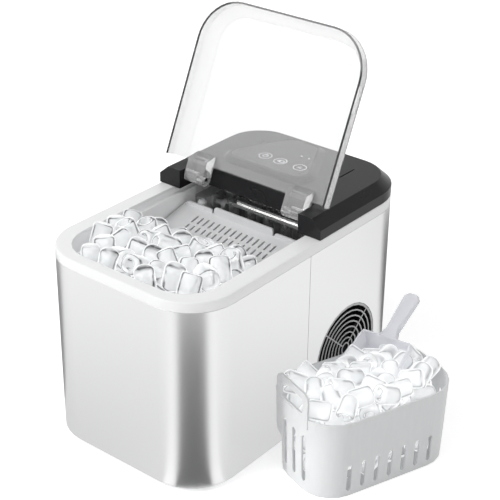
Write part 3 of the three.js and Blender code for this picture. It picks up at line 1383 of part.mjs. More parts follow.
function basket() {
  const shell = cut(
    basketForm(0, 0, BASKET_HEIGHT),
    basketForm(BASKET_WALL, BASKET_WALL, BASKET_HEIGHT + 1),
  );
  const halfLength = BASKET_LENGTH / 2;
  const halfWidth = BASKET_WIDTH / 2;
  const slots = [];
  for (let i = -3; i <= 3; i += 1) {
    slots.push(slotTool('x', i * 17, 6, 40, [-halfWidth - 9, -halfWidth + 12]));
    slots.push(slotTool('x', i * 17, 6, 36, [halfWidth - BASKET_STEP - 12, halfWidth + 9]));
  }
  for (let i = -1; i <= 1; i += 1) {
    const offset = i * 17 - BASKET_STEP / 2;
    slots.push(slotTool('y', offset, 12, 70, [halfLength - 14, halfLength + 9]));
    slots.push(slotTool('y', offset, 12, 70, [-halfLength - 9, -halfLength + 14]));
  }
  for (let i = -3; i <= 3; i += 1) {
    for (const y of [-30, -8, 14]) {
      slots.push(block([i * 20 - 6, i * 20 + 6], [y, y + 4.5], [-1, BASKET_WALL + 1]));
    }
  }
  // Loop handle that stands on one end wall
  const half = HANDLE_WIDTH / 2;
  const top = BASKET_HEIGHT + HANDLE_HEIGHT;
  const loop = new THREE.Shape([
    new THREE.Vector2(-half, BASKET_HEIGHT - 12),
    new THREE.Vector2(half, BASKET_HEIGHT - 12),
    ...arc(half - 9, top - 9, 9, 0, 90, 5),
    ...arc(9 - half, top - 9, 9, 90, 90, 5),
  ]);
  const grip = half - HANDLE_BAR;
  loop.holes.push(new THREE.Path([
    ...arc(grip - 6, BASKET_HEIGHT + 8, 6, -90, 90, 4),
    ...arc(grip - 6, top - HANDLE_BAR - 6, 6, 0, 90, 4),
    ...arc(6 - grip, top - HANDLE_BAR - 6, 6, 90, 90, 4),
    ...arc(6 - grip, BASKET_HEIGHT + 8, 6, 180, 90, 4),
  ]));
  const handle = new THREE.ExtrudeGeometry(loop, { depth: BASKET_WALL + 0.6, bevelEnabled: false });
  handle.rotateX(Math.PI / 2).rotateZ(Math.PI / 2).translate(-halfLength + 0.4, 0, 0);
  return join(cut(shell, ...slots), solid(handle));
}

// Scoop in its own axes: nose towards -Y, open towards +Z, the handle runs out along +Y
function scoop() {
  const half = SCOOP_BOWL_WIDTH / 2;
  const section = (inset) => roundedRing({
    left: -half,
    right: half,
    front: 0,
    back: SCOOP_BOWL_DEPTH + 40,
    frontRadius: 14,
    backRadius: 14,
  }, inset, 5);
  const length = SCOOP_BOWL_LENGTH;
  // Rings drawn in the plane across the bowl, stacked from the back wall to the nose
  const stand = (inset, from, to) => {
    const form = loft([
      [from, section(inset + 2)],
      [from + 8, section(inset)],
      [to, section(inset)],
    ]);
    return form.rotate([90, 0, 0]);
  };
  const outer = stand(0, 0, length);
  const inner = stand(SCOOP_WALL, SCOOP_WALL, length + 9);
  const lip = new THREE.Shape([
    new THREE.Vector2(9, SCOOP_BOWL_DEPTH),
    new THREE.Vector2(-length * 0.42, SCOOP_BOWL_DEPTH),
    new THREE.Vector2(-length - 9, 4),
    new THREE.Vector2(-length - 9, SCOOP_BOWL_DEPTH + 60),
    new THREE.Vector2(9, SCOOP_BOWL_DEPTH + 60),
  ]);
  const trim = new THREE.ExtrudeGeometry(lip, { depth: SCOOP_BOWL_WIDTH + 20, bevelEnabled: false });
  trim.rotateX(Math.PI / 2).rotateZ(Math.PI / 2).translate(-half - 10, 0, 0);
  const handleRing = (width) => roundedRing({
    left: -width / 2,
    right: width / 2,
    front: SCOOP_BOWL_DEPTH - SCOOP_HANDLE_DEPTH,
    back: SCOOP_BOWL_DEPTH - SCOOP_HANDLE_DEPTH + SCOOP_HANDLE_THICKNESS,
    frontRadius: SCOOP_HANDLE_THICKNESS / 2 - 0.1,
    backRadius: SCOOP_HANDLE_THICKNESS / 2 - 0.1,
  }, 0, 4);
  const handle = loft([
    [-SCOOP_HANDLE_LENGTH, handleRing(SCOOP_HANDLE_WIDTH - 6)],
    [-SCOOP_HANDLE_LENGTH + 4, handleRing(SCOOP_HANDLE_WIDTH)],
    [-12, handleRing(SCOOP_HANDLE_WIDTH - 3)],
    [1, handleRing(SCOOP_HANDLE_WIDTH + 6)],
  ]).rotate([90, 0, 0]);
  return join(cut(outer, inner, solid(trim)), handle);
}

// ---------------------------------------------------------------- assembly

const machine = new THREE.Group();
const add = (name, body, material) => machine.add(piece(name, body, material));

add('front_wrap', frontWrap(), FINISHES.steel);
add('rear_wrap', rearWrap(), FINISHES.steel);
add('base_pan', basePan(), FINISHES.zinc);
add('top_frame', topFrame(), FINISHES.white);
add('water_tank', tank(), FINISHES.white);
add('foam_jacket', foamJacket(), FINISHES.foam);
add('rear_cover', rearCover(), FINISHES.black);
add('touch_panel', touchPanel(), FINISHES.lens);
add('control_board', controlBoard(), FINISHES.circuit);
add('fan_grille', fanGrille(), FINISHES.grey);
add('fan_blade', fanBlade(), FINISHES.dark);
add('fan_shaft', fanShaft(), FINISHES.zinc);
add('fan_motor', fanMotor(), FINISHES.zinc);
add('fan_shroud', fanShroud(), FINISHES.black);
add('condenser', condenser(), FINISHES.aluminium);
add('compressor', compressor(), FINISHES.enamel);
add('discharge_pipe', dischargePipe(), FINISHES.copper);
add('filter_drier', filterDrier(), FINISHES.copper);
add('liquid_pipe', liquidPipe(), FINISHES.copper);
add('capillary_pipe', capillaryPipe(), FINISHES.copper);
add('suction_pipe', suctionPipe(), FINISHES.copper);
add('evaporator', evaporator(), FINISHES.chrome);
for (const [side, offset] of Object.entries(STRAP_OFFSETS)) {
  const x = TRAY_CENTRE_X + offset;
  const strap = sweptX(evaporatorStrap(), [x - STRAP_WIDTH / 2, x + STRAP_WIDTH / 2]);
  add(`evaporator_strap_${side}`, strap, FINISHES.zinc);
}
add('water_tray', waterTray(), FINISHES.dark);
add('tray_motor', trayMotor(), FINISHES.grey);
add('water_pump', waterPump(), FINISHES.dark);
add('pump_inlet_hose', inletHose(), FINISHES.silicone);
add('tray_fill_hose', fillHose(), FINISHES.silicone);
add('drain_hose', drainHose(), FINISHES.silicone);
add('drain_spout', drainSpout(), FINISHES.white);
add('drain_plug', drainPlug(), FINISHES.silicone);
add('cord_gland', cordGland(), FINISHES.rubber);
add('power_box', powerBox(), FINISHES.white);
add('power_board', powerBoard(), FINISHES.circuit);
add('hinge_pin_left', hingePin(-1), FINISHES.black);
add('hinge_pin_right', hingePin(1), FINISHES.black);

for (const { name, x, y } of FOOT_SPOTS) {
  const mesh = piece(name, foot(), FINISHES.rubber);
  mesh.position.set(x, y, 0);
  machine.add(mesh);
}
for (const { name, x, y } of GROMMET_SPOTS) {
  const mesh = piece(name, grommet(), FINISHES.rubber);
  mesh.position.set(x, y, 0);
  machine.add(mesh);
}

// The shovel turns on its axle; its shape is drawn about that axle
const shovel = piece('ice_shovel', iceShovel(), FINISHES.white);
shovel.position.set(0, SHOVEL_AXLE_Y, SHOVEL_AXLE_Z);
machine.add(shovel);

const SENSOR_Y = TRAY_Y - TRAY_RADIUS + 4;
const SENSOR_HEIGHT = CHAMBER_DEPTH - 18;
const SENSORS = [
  { name: 'ice_sensor_left', x: TRAY_LEFT_X - 11, y: SENSOR_Y, radius: 5.5 },
  { name: 'ice_sensor_right', x: TANK_HALF - CHEEK_WIDTH - 6.5, y: SENSOR_Y, radius: 3.2 },
];
for (const { name, x, y, radius } of SENSORS) {
  const mesh = piece(name, sensorPost(radius, SENSOR_HEIGHT), FINISHES.grey);
  mesh.position.set(x, y, CHAMBER_FLOOR_Z + SEAT_GAP);
  machine.add(mesh);
}

// The lid is drawn closed and swung open about its hinge line
const lidHinge = new THREE.Group();
lidHinge.position.set(0, HINGE_Y, HINGE_Z);
lidHinge.rotation.x = -radians(LID_OPEN_ANGLE);
const lidMesh = piece('lid', lid(), FINISHES.clear);
lidMesh.position.set(0, -HINGE_Y, -HINGE_Z);
lidHinge.add(lidMesh);
machine.add(lidHinge);

// The basket stands on the counter beside the fan flank, the scoop leans over its far end
const basketPlace = new THREE.Group();
basketPlace.position.set(BASKET_X, BASKET_Y, 0);
basketPlace.rotation.z = radians(BASKET_TURN);
basketPlace.add(piece('basket', basket(), FINISHES.white));
const scoopPlace = new THREE.Group();
scoopPlace.position.set(
  BASKET_LENGTH / 2 - SCOOP_END_ROOM,
  BASKET_WIDTH / 2 - SCOOP_BOWL_WIDTH / 2 + SCOOP_SIDE_OVERLAP,
  BASKET_HEIGHT + SCOOP_RISE,
);
scoopPlace.rotation.set(radians(SCOOP_LEAN), 0, radians(SCOOP_TURN - 90), 'ZXY');
const scoopMesh = piece('scoop', scoop(), FINISHES.frosted);
const bowlDrop = SCOOP_BOWL_DEPTH - SCOOP_HANDLE_DEPTH;
scoopMesh.position.set(0, -bowlDrop * Math.tan(radians(SCOOP_LEAN)), -bowlDrop);
scoopPlace.add(scoopMesh);
basketPlace.add(scoopPlace);
machine.add(basketPlace);

// Origin: on the counter, at the middle of the footprint of everything that stands there
const iceMaker = new THREE.Group();
iceMaker.add(machine);
iceMaker.updateMatrixWorld(true);
const extent = new THREE.Box3().setFromObject(machine, true);
const middle = extent.getCenter(new THREE.Vector3());
machine.position.set(-middle.x, -middle.y, -extent.min.z);
iceMaker.updateMatrixWorld(true);

export default iceMaker;
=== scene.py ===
# %% [markdown]
# # A countertop ice maker with its lid open
#
# This file dresses a rigid model of a bullet ice maker. The model already has every hard part, in metres,
# with its joints. Here the parts get their finishes, and the scene gets what the rigid model leaves out:
# the loose ice, the printed icons, the small screws, the light and the camera.
#
# The first cell loads the model. A node's place is in its mesh, so its object coordinates are also
# coordinates in the machine's own frame. All finishes below rely on that.

# %% The frame
import math
import random

import bmesh
import bpy
from mathutils import Euler, Matrix, Vector


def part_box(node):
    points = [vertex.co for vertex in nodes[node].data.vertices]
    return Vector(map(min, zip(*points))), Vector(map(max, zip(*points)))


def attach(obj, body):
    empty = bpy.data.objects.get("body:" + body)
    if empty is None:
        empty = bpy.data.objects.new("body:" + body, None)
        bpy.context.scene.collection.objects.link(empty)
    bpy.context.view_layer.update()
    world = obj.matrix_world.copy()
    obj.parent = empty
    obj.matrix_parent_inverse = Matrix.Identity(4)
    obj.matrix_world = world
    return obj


MM = 0.001
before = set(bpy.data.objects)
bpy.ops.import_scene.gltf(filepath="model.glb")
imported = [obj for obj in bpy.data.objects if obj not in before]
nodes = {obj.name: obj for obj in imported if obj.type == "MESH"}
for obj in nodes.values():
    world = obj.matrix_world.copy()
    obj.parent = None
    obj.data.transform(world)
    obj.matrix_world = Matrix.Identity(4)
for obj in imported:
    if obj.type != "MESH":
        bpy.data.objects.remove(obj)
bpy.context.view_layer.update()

# %% [markdown]
# ## Places that the later cells share
#
# The machine's middle is not the frame's middle, because the basket stands beside it. So the shared places
# are measured from the parts themselves: the white top frame is as wide and as deep as the machine. Only
# the middle of the steel casing needs a number, half its depth.

# %% Shared places
CASING_HALF_DEPTH = 181 * MM
frame_low, frame_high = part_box("top_frame")
machine_x = (frame_low[0] + frame_high[0]) / 2
machine_front = frame_low[1]
machine_back = frame_high[1]
machine_y = machine_front + CASING_HALF_DEPTH
half_width = (frame_high[0] - frame_low[0]) / 2
print("machine middle, front and back", [round(n, 4) for n in (machine_x, machine_front, machine_back)])

# %% [markdown]
# ## Shader maths as Python
#
# A finish is a recipe: a mask here, a streak there, then a colour and a roughness from them. Written node
# by node, such a recipe is hard to read. So one small class wraps an output socket and gives it the
# arithmetic operators. `1 - mask * 0.3` then adds its two Math nodes by itself.

# %% Value
class Value:
    """One output socket of a recipe, usable in Python expressions."""

    def __init__(self, recipe, socket):
        self.recipe = recipe
        self.socket = socket

    def math(self, operation, *others, clamp=False):
        """A Math node with this value first."""
        settings = {"operation": operation, "use_clamp": clamp}
        return self.recipe.node("ShaderNodeMath", settings, dict(enumerate((self, *others))))

    def __add__(self, other):
        return self.math("ADD", other)

    def __sub__(self, other):
        return self.math("SUBTRACT", other)

    def __rsub__(self, other):
        return self.recipe.node("ShaderNodeMath", {"operation": "SUBTRACT"}, {0: other, 1: self})

    def __mul__(self, other):
        return self.math("MULTIPLY", other)

    def __truediv__(self, other):
        return self.math("DIVIDE", other)

    def __abs__(self):
        return self.math("ABSOLUTE")

    def __lt__(self, other):
        return self.math("LESS_THAN", other)

    def __gt__(self, other):
        return self.math("GREATER_THAN", other)

    def __or__(self, other):
        return self.math("MAXIMUM", other)

    def clamped(self):
        """The value, kept within 0 to 1."""
        return self.math("ADD", 0.0, clamp=True)


def spread(value, low, high):
    """Moves a 0 to 1 value to low..high."""
    return value * (high - low) + low


def grey(level):
    """A colour without a hue."""
    return (level, level, level)


print("sockets can be used in expressions")

# %% [markdown]
# ## Recipes and finishes
#
# A recipe is a node tree, of a material or of the world, and one method that adds a node to it. A finish is
# the recipe of one material. A number that is the same all over a surface goes straight on the shader's
# socket, when the finish is made. What changes over the surface is an expression, and drive() links it.

# %% Recipe and Finish
class Recipe:
    """A node tree whose nodes are added one by one or by expressions."""

    def __init__(self, tree):
        self.tree = tree

    def node(self, kind, settings=None, sockets=None, output=0):
        """Adds a node: its settings first, then a value or a link for each socket named or numbered."""
        node = self.tree.nodes.new(kind)
        for key, value in (settings or {}).items():
            setattr(node, key, value)
        for key, value in (sockets or {}).items():
            if isinstance(value, Value):
                self.tree.links.new(value.socket, node.inputs[key])
            else:
                node.inputs[key].default_value = value
        return Value(self, node.outputs[output])


class Finish(Recipe):
    """One material: a Principled shader with numbers on its sockets and expressions behind some of them."""

    made = []

    def __init__(self, name, **numbers):
        self.material = bpy.data.materials.new(name)
        self.material.use_nodes = True
        super().__init__(self.material.node_tree)
        self.shader = self.tree.nodes["Principled BSDF"]
        for socket, number in numbers.items():
            self.shader.inputs[socket.replace("_", " ")].default_value = number
        Finish.made.append(name)

    def place(self, stretch=(1, 1, 1)):
        """Object coordinates, multiplied along each axis."""
        coordinates = self.node("ShaderNodeTexCoord", output="Object")
        settings = {"operation": "MULTIPLY"}
        return self.node("ShaderNodeVectorMath", settings, {0: coordinates, 1: stretch})

    def axis(self, name):
        """One of the object coordinates X, Y and Z."""
        return self.node("ShaderNodeSeparateXYZ", sockets={0: self.place()}, output=name)

    def noise(self, per_metre, detail=2.0, stretch=(1, 1, 1), rough=0.5):
        """A cloudy 0 to 1 pattern, with about per_metre clouds to the metre."""
        sockets = {"Vector": self.place(stretch), "Scale": per_metre, "Detail": detail, "Roughness": rough}
        return self.node("ShaderNodeTexNoise", sockets=sockets, output="Fac")

    def cells(self, per_metre):
        """The distance to the nearest of many scattered points: a pattern of small cells."""
        sockets = {"Vector": self.place(), "Scale": per_metre}
        return self.node("ShaderNodeTexVoronoi", sockets=sockets, output="Distance")

    def mix(self, factor, first, second):
        """A colour between two colours; Mix keeps the colour, where a Math node would turn it grey."""
        first, second = ((*c, 1) if isinstance(c, tuple) else c for c in (first, second))
        return self.node("ShaderNodeMix", {"data_type": "RGBA"}, {0: factor, 6: first, 7: second}, output=2)

    def bump(self, height, depth_mm, strength=1.0):
        """A normal that is tilted as if height, from 0 to 1, raised the surface by depth_mm."""
        sockets = {"Height": height, "Distance": depth_mm * MM, "Strength": strength}
        return self.node("ShaderNodeBump", sockets=sockets, output="Normal")

    def drive(self, **sockets):
        """Links values to the shader's sockets."""
        for name, value in sockets.items():
            self.tree.links.new(value.socket, self.shader.inputs[name.replace("_", " ")])

    def shine(self, strength=1.0):
        """Lets the Emission Color show; at 0 the shader leaves it out."""
        self.shader.inputs["Emission Strength"].default_value = strength


print("recipe helpers ready")

# %% [markdown]
# ## Smooth corners on faceted solids
#
# The rigid model is made of flat facets, and its edges are perfectly sharp. A moulded or bent part never
# is: a tiny rounding at each edge catches a line of light. A few modifiers do that without touching the
# mesh. Weld joins the facets' loose corners, Decimate in its dissolve mode merges facets that lie in one
# plane, and Bevel rounds what is still sharp. Weighted Normal then keeps the large faces flat. Thin or very
# small parts skip all that after the weld, and only get a split at sharp edges.

# %% Edge treatment
SHARP = math.radians(32)
SAME_PLANE = math.radians(0.3)
SAME_POINT = 0.01 * MM


def soften(obj, radius_mm):
    """Rounds the edges of a rigid part by radius_mm, or only smooths its curved faces where that is 0."""
    obj.data.shade_smooth()
    weld = obj.modifiers.new("weld", "WELD")
    weld.merge_threshold = SAME_POINT
    if radius_mm:
        flat = obj.modifiers.new("flat", "DECIMATE")
        flat.decimate_type = "DISSOLVE"
        flat.angle_limit = SAME_PLANE
        round_edge = obj.modifiers.new("rounding", "BEVEL")
        round_edge.width = radius_mm * MM
        round_edge.segments = 2
        round_edge.limit_method = "ANGLE"
        round_edge.angle_limit = SHARP
        obj.modifiers.new("shading", "WEIGHTED_NORMAL").keep_sharp = True
    else:
        split = obj.modifiers.new("split", "EDGE_SPLIT")
        split.split_angle = SHARP


def dress(finish, names, radius_mm=0.0):
    """Gives the named parts a finish and soft edges."""
    for name in names:
        obj = nodes[name]
        obj.data.materials.clear()
        obj.data.materials.append(finish.material)
        soften(obj, radius_mm)
    print(finish.material.name, "on", len(names), "parts")


print("edges sharper than", round(math.degrees(SHARP)), "degrees are rounded or split")

# %% [markdown]
# ## Brushed steel
#
# The casing is two bent sheets of stainless steel. Brushing leaves hair-thin lines that all run one way,
# here up and down. A noise that is stretched a hundred times along Z looks like them: it shifts the
# roughness and adds a very low bump. The lines are under half a millimetre wide, so from a metre away they
# only soften the reflections sideways. A slower noise gives the faint clouding that wiping leaves.

# %% Steel
steel = Finish("brushed_steel", Metallic=1.0, Anisotropic=0.0)
hairs = steel.noise(2400, detail=2, stretch=(1, 1, 0.01), rough=0.6)
clouds = steel.noise(7, detail=2)
steel.drive(
    Base_Color=steel.mix(hairs, (0.785, 0.787, 0.792), (0.805, 0.807, 0.81)),
    Roughness=spread(hairs, 0.30, 0.36) + spread(clouds, -0.02, 0.02),
    Normal=steel.bump(hairs, 0.002, strength=0.15),
)
dress(steel, ["front_wrap", "rear_wrap"], 0.25)

# %% [markdown]
# ## Galvanised steel
#
# The base pan, the straps, the shaft and the fan motor are dipped in zinc. It freezes in small crystals, its
# spangle, each a little lighter or darker than the next. Voronoi cells a few millimetres across look like
# that.

# %% Zinc
zinc = Finish("galvanised_steel", Metallic=1.0)
spangle = zinc.cells(260).clamped()
zinc.drive(
    Base_Color=zinc.mix(spangle, (0.60, 0.62, 0.64), (0.74, 0.75, 0.77)),
    Roughness=spread(spangle, 0.30, 0.52),
)
dress(zinc, ["base_pan", "evaporator_strap_left", "evaporator_strap_right", "fan_shaft", "fan_motor"])

# %% [markdown]
# ## White moulded plastic
#
# The rim, the drain spout and the tank are white ABS. Fresh from a polished mould it is glossy, with a
# slight orange peel that only shows in the reflections. So the colour barely moves, and the bump is shallow
# and a few millimetres wide. The tank's inside is rougher than the rim, because water marks it.

# %% White plastics
white = Finish("white_abs", Coat_Weight=0.25, Coat_Roughness=0.12)
peel = white.noise(420, detail=2)
slow = white.noise(14, detail=1)
white.drive(
    Base_Color=white.mix(slow, (0.83, 0.835, 0.84), (0.87, 0.87, 0.87)),
    Roughness=spread(peel, 0.26, 0.40),
    Normal=white.bump(peel, 0.02, strength=0.5),
)
dress(white, ["top_frame"], 0.5)
dress(white, ["drain_spout"], 0.25)

tank_white = Finish("tank_white", Coat_Weight=0.1)
marks = tank_white.noise(60, detail=4)
tank_white.drive(
    Base_Color=tank_white.mix(marks, (0.88, 0.883, 0.885), (0.92, 0.923, 0.925)),
    Roughness=spread(marks, 0.34, 0.55),
    Normal=tank_white.bump(tank_white.noise(900), 0.015, strength=0.5),
)
dress(tank_white, ["water_tank"], 0.5)
dress(tank_white, ["power_box"])

# %% [markdown]
# ## Pale grey shovel, and a basket in painted shade
#
# The shovel is a shade greyer. The basket is white plastic, but its colour is set greyer too: painted
# shade, so that its long wall reads as darker in shade. Ice scuffs the shovel all over, and the basket
# keeps the faint upright lines of its mould, which had to slide off its tall walls. So the basket's noise
# is stretched along Z.

# %% Shovel and basket
shovel_grey = Finish("shovel_pale_grey", Coat_Weight=0.1)
scuffs = shovel_grey.noise(80, detail=4)
shovel_grey.drive(
    Base_Color=shovel_grey.mix(scuffs, (0.60, 0.605, 0.61), (0.66, 0.662, 0.67)),
    Roughness=spread(scuffs, 0.35, 0.5),
    Normal=shovel_grey.bump(shovel_grey.noise(700), 0.015, strength=0.4),
)
dress(shovel_grey, ["ice_shovel"], 0.25)

basket_painted_grey = Finish("basket_painted_grey", Coat_Weight=0.15, Coat_Roughness=0.2)
draft_lines = basket_painted_grey.noise(260, detail=3, stretch=(1, 1, 0.2))
# The basket's grey is painted shade: white plastic set darker, so its long wall reads shaded.
basket_painted_grey.drive(
    Base_Color=basket_painted_grey.mix(draft_lines, (0.65, 0.66, 0.67), (0.70, 0.705, 0.71)),
    Roughness=spread(draft_lines, 0.28, 0.46),
    Normal=basket_painted_grey.bump(draft_lines, 0.02, strength=0.4),
)
dress(basket_painted_grey, ["basket"], 0.35)

# %% [markdown]
# ## Black and grey plastics
#
# The rear cover is black ABS from a spark-eroded mould, whose fine grain makes it satin. A cell pattern
# under a millimetre across gives that grain. The tray, the fan and the sensors share this one recipe,
# called with their own colours. The cover's mirror-like share is turned down, as its grain breaks up what
# it would reflect.

# %% Dark plastics
def moulded(name, dark, light, rough=(0.35, 0.5), grain=1400):
    """A grained, moulded material between two colours; rough is its range, grain its cells to the metre."""
    finish = Finish(name)
    pits = finish.cells(grain).clamped()
    drift = finish.noise(22, detail=3)
    finish.drive(
        Base_Color=finish.mix(drift, dark, light),
        Roughness=spread(drift, *rough),
        Normal=finish.bump(pits, 0.03, strength=0.5),
    )
    return finish


cover_black = moulded("cover_black", (0.008, 0.008, 0.009), (0.012, 0.012, 0.013), (0.24, 0.34))
cover_black.shader.inputs["Specular IOR Level"].default_value = 0.24
dress(cover_black, ["rear_cover"], 0.6)
dress(cover_black, ["hinge_pin_left", "hinge_pin_right"], 0.2)
# The grey of the tray and the pump is lifted well above a dark grey plastic: painted light for the shade
# under the cover.
tray_lifted_grey = moulded("tray_painted_lift_grey", (0.36, 0.365, 0.37), (0.42, 0.424, 0.43))
dress(tray_lifted_grey, ["water_tray"], 0.3)
dress(tray_lifted_grey, ["water_pump"])
fan_black = moulded("fan_black", grey(0.006), grey(0.010), (0.5, 0.65))
dress(fan_black, ["fan_blade", "fan_shroud"])
mid_grey = moulded("sensor_grey", (0.48, 0.485, 0.49), (0.56, 0.565, 0.57))
dress(mid_grey, ["tray_motor", "ice_sensor_left", "ice_sensor_right"], 0.3)

# %% [markdown]
# ## The fan grille
#
# The grille is different: it is black, but the outer face of its rings is painted a pale grey, a painted
# highlight for the light that face catches, and the sides of its bars stay black. The grille faces along X,
# so a mask on the X coordinate tells the face from the sides.

# %% Grille
grille_painted_face = Finish("grille_painted_face")
LIT_FACE_DEPTH = 0.6 * MM
grille_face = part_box("fan_grille")[1][0] - LIT_FACE_DEPTH
grille_noise = grille_painted_face.noise(90, detail=3)
# The outer face's pale grey is a painted highlight; the sides of the bars stay black.
painted_lit_grey = grille_painted_face.mix(grille_noise, (0.50, 0.505, 0.51), (0.60, 0.605, 0.61))
grille_painted_face.drive(
    Base_Color=grille_painted_face.mix(grille_painted_face.axis("X") > grille_face, grey(0.012), painted_lit_grey),
    Roughness=spread(grille_noise, 0.4, 0.55),
)
dress(grille_painted_face, ["fan_grille"], 0.2)

# %% [markdown]
# ## Rubber, enamel, foam and circuit boards
#
# The moulded recipe also serves the parts inside and below. Rubber is rougher with a finer grain, and the
# compressor's enamel is smoother with a coarse one, like the skin of an orange. Foam is cream and quite
# matt, with bubbles a few millimetres across. A circuit board is green lacquer over a woven sheet.

# %% Inner parts
rubber = moulded("rubber_black", grey(0.010), grey(0.022), (0.65, 0.85), grain=2200)
dress(rubber, [name for name in nodes if name.startswith(("foot_", "compressor_grommet", "cord_gland"))])
enamel = moulded("compressor_enamel", (0.006, 0.006, 0.007), (0.012, 0.012, 0.013), (0.12, 0.25), grain=500)
dress(enamel, ["compressor"])
foam = moulded("foam_cream", (0.62, 0.58, 0.47), (0.74, 0.70, 0.58), (0.8, 0.95), grain=420)
dress(foam, ["foam_jacket"])
board_green = moulded("circuit_green", (0.010, 0.07, 0.035), (0.018, 0.11, 0.055), (0.3, 0.5), grain=300)
dress(board_green, ["control_board", "power_board"])

# %% [markdown]
# ## Metals of the cooling circuit
#
# The evaporator is nickel plated and bright, copper pipes are dull where they were handled and pinker where
# they were not, and the condenser's fins are bare aluminium. Each is a metal with a slow stain in its
# colour.

# %% Cooling circuit
def stained_metal(name, dull, bright, rough, per_metre=70):
    """A metal stained from dull to bright; rough is its range, per_metre its stains to the metre."""
    finish = Finish(name, Metallic=1.0)
    stain = finish.noise(per_metre, detail=4, rough=0.6)
    finish.drive(
        Base_Color=finish.mix(stain, dull, bright),
        Roughness=spread(stain, *rough),
        Normal=finish.bump(stain, 0.05, strength=0.3),
    )
    return finish


nickel = stained_metal("bright_nickel", (0.62, 0.62, 0.61), (0.74, 0.74, 0.74), (0.22, 0.34))
dress(nickel, ["evaporator"], 0.3)
copper = stained_metal("copper", (0.48, 0.24, 0.13), (0.80, 0.46, 0.31), (0.22, 0.42))
dress(copper, ["discharge_pipe", "liquid_pipe", "capillary_pipe", "suction_pipe", "filter_drier"])
fins = stained_metal("aluminium_fins", (0.62, 0.63, 0.64), (0.80, 0.81, 0.82), (0.25, 0.45), per_metre=200)
dress(fins, ["condenser"])

# %% [markdown]
# ## Clear and translucent plastics
#
# The lid is clear polystyrene. A thin share of it is white haze, from a Transmission Weight below one, so
# dark parts behind it turn grey. Light also runs along inside the wall and is lost at the cut lip, so the
# lip looks dark; here that dark line is painted shade, a near-black colour on the lip. A mask makes that
# line: it measures how far a point lies towards the lip, and leaves out the finger tab at the side. The
# lip's depth is measured high up on the open lid and its side low down, because the hinge lugs and the
# finger tab stand out further elsewhere.

# %% Lid
LID_OPEN = math.radians(114.5)
PAINTED_LIP_WIDTH = 1.1 * MM
SIDE_MARGIN = 0.3 * MM
LID_TOP = 360 * MM
LID_FOOT = 280 * MM
lip_way = Vector((0, -math.sin(LID_OPEN), -math.cos(LID_OPEN)))
lid_points = [v.co for v in nodes["lid"].data.vertices]
lip_depth = max(p.dot(lip_way) for p in lid_points if p.z > LID_TOP)
lid_side = max(p.x for p in lid_points if p.z < LID_FOOT)
clear = Finish("clear_plastic", Transmission_Weight=0.83, IOR=1.42)
wipe = clear.noise(12, detail=3)
along_lip = clear.node(
    "ShaderNodeVectorMath", {"operation": "DOT_PRODUCT"}, {0: clear.place(), 1: lip_way}, output="Value"
)
clear_face = clear.mix(wipe, (0.975, 0.98, 0.98), (0.995, 0.995, 0.995))
# The lip's dark line is painted shade: a near-black band of colour.
painted_lip_shade = (along_lip > lip_depth - PAINTED_LIP_WIDTH) * (clear.axis("X") < lid_side + SIDE_MARGIN)
clear.drive(
    Base_Color=clear.mix(painted_lip_shade, clear_face, (0.02, 0.02, 0.022)),
    Roughness=spread(wipe, 0.0, 0.02),
)
print("lid lip at", round(lip_depth, 4))
dress(clear, ["lid"], 0.4)

# %% [markdown]
# ## Scoop, hoses and plug
#
# The scoop is a clear plastic too, but used and frosty: less of it is clear, and a faint blue comes
# through. The silicone hoses and the drain plug are milky, which is a low Transmission Weight again.

# %% Frosted and milky plastics
haze = Finish("frosted_plastic", Transmission_Weight=0.42, IOR=1.40)
cloud = haze.noise(40, detail=3)
haze.drive(
    Base_Color=haze.mix(cloud, (0.88, 0.885, 0.94), (0.94, 0.945, 0.985)),
    Roughness=spread(cloud, 0.14, 0.26),
)
dress(haze, ["scoop"], 0.4)

milky = Finish("milky_silicone", Transmission_Weight=0.35, IOR=1.41)
bloom = milky.noise(90, detail=3)
milky.drive(
    Base_Color=milky.mix(bloom, (0.78, 0.80, 0.82), (0.88, 0.89, 0.90)),
    Roughness=spread(bloom, 0.3, 0.5),
)
dress(milky, ["pump_inlet_hose", "tray_fill_hose", "drain_hose", "drain_plug"])

# %% [markdown]
# ## The touch panel and its printed icons
#
# The panel is one smooth lens with nothing that moves: the icons are printed on it. A printed ring is a set
# of points at one distance from its middle, so the mask is |distance - radius| < half the line's width. A
# dot and a bar are masks of the same kind. All places are in millimetres from the machine's middle, seen
# from above.

# %% Printed marks
lens = Finish("touch_lens", Coat_Weight=0.15, Coat_Roughness=0.05, Specular_IOR_Level=0.3)
flat_place = lens.place((1, 1, 0))
LINE = 0.8


def spot_distance(x, y):
    """How far a point of the panel is from a spot, in plan."""
    centre = (x * MM + machine_x, y * MM + machine_y, 0)
    sockets = {0: flat_place, 1: centre}
    return lens.node("ShaderNodeVectorMath", {"operation": "DISTANCE"}, sockets, output="Value")


def ring(x, y, radius):
    """A printed circle line."""
    return abs(spot_distance(x, y) - radius * MM) < LINE * MM / 2


def dot(x, y, radius):
    """A printed round spot."""
    return spot_distance(x, y) < radius * MM


def bar(x, y, half_x, half_y):
    """A printed rectangle."""
    along = abs(lens.axis("X") - (x * MM + machine_x)) < half_x * MM
    across = abs(lens.axis("Y") - (y * MM + machine_y)) < half_y * MM
    return along * across


print("panel marks are measured from", round(machine_x, 4), round(machine_y, 4))

# %% [markdown]
# Three keys have a ring each, and inside it a sign that any such machine could have: a power sign, a small
# and a large circle for the size of the ice, and three bars for cleaning. Two small lights stand behind
# them. The marks are joined into one mask, which then picks the colour, and a weak glow as the keys are
# backlit.

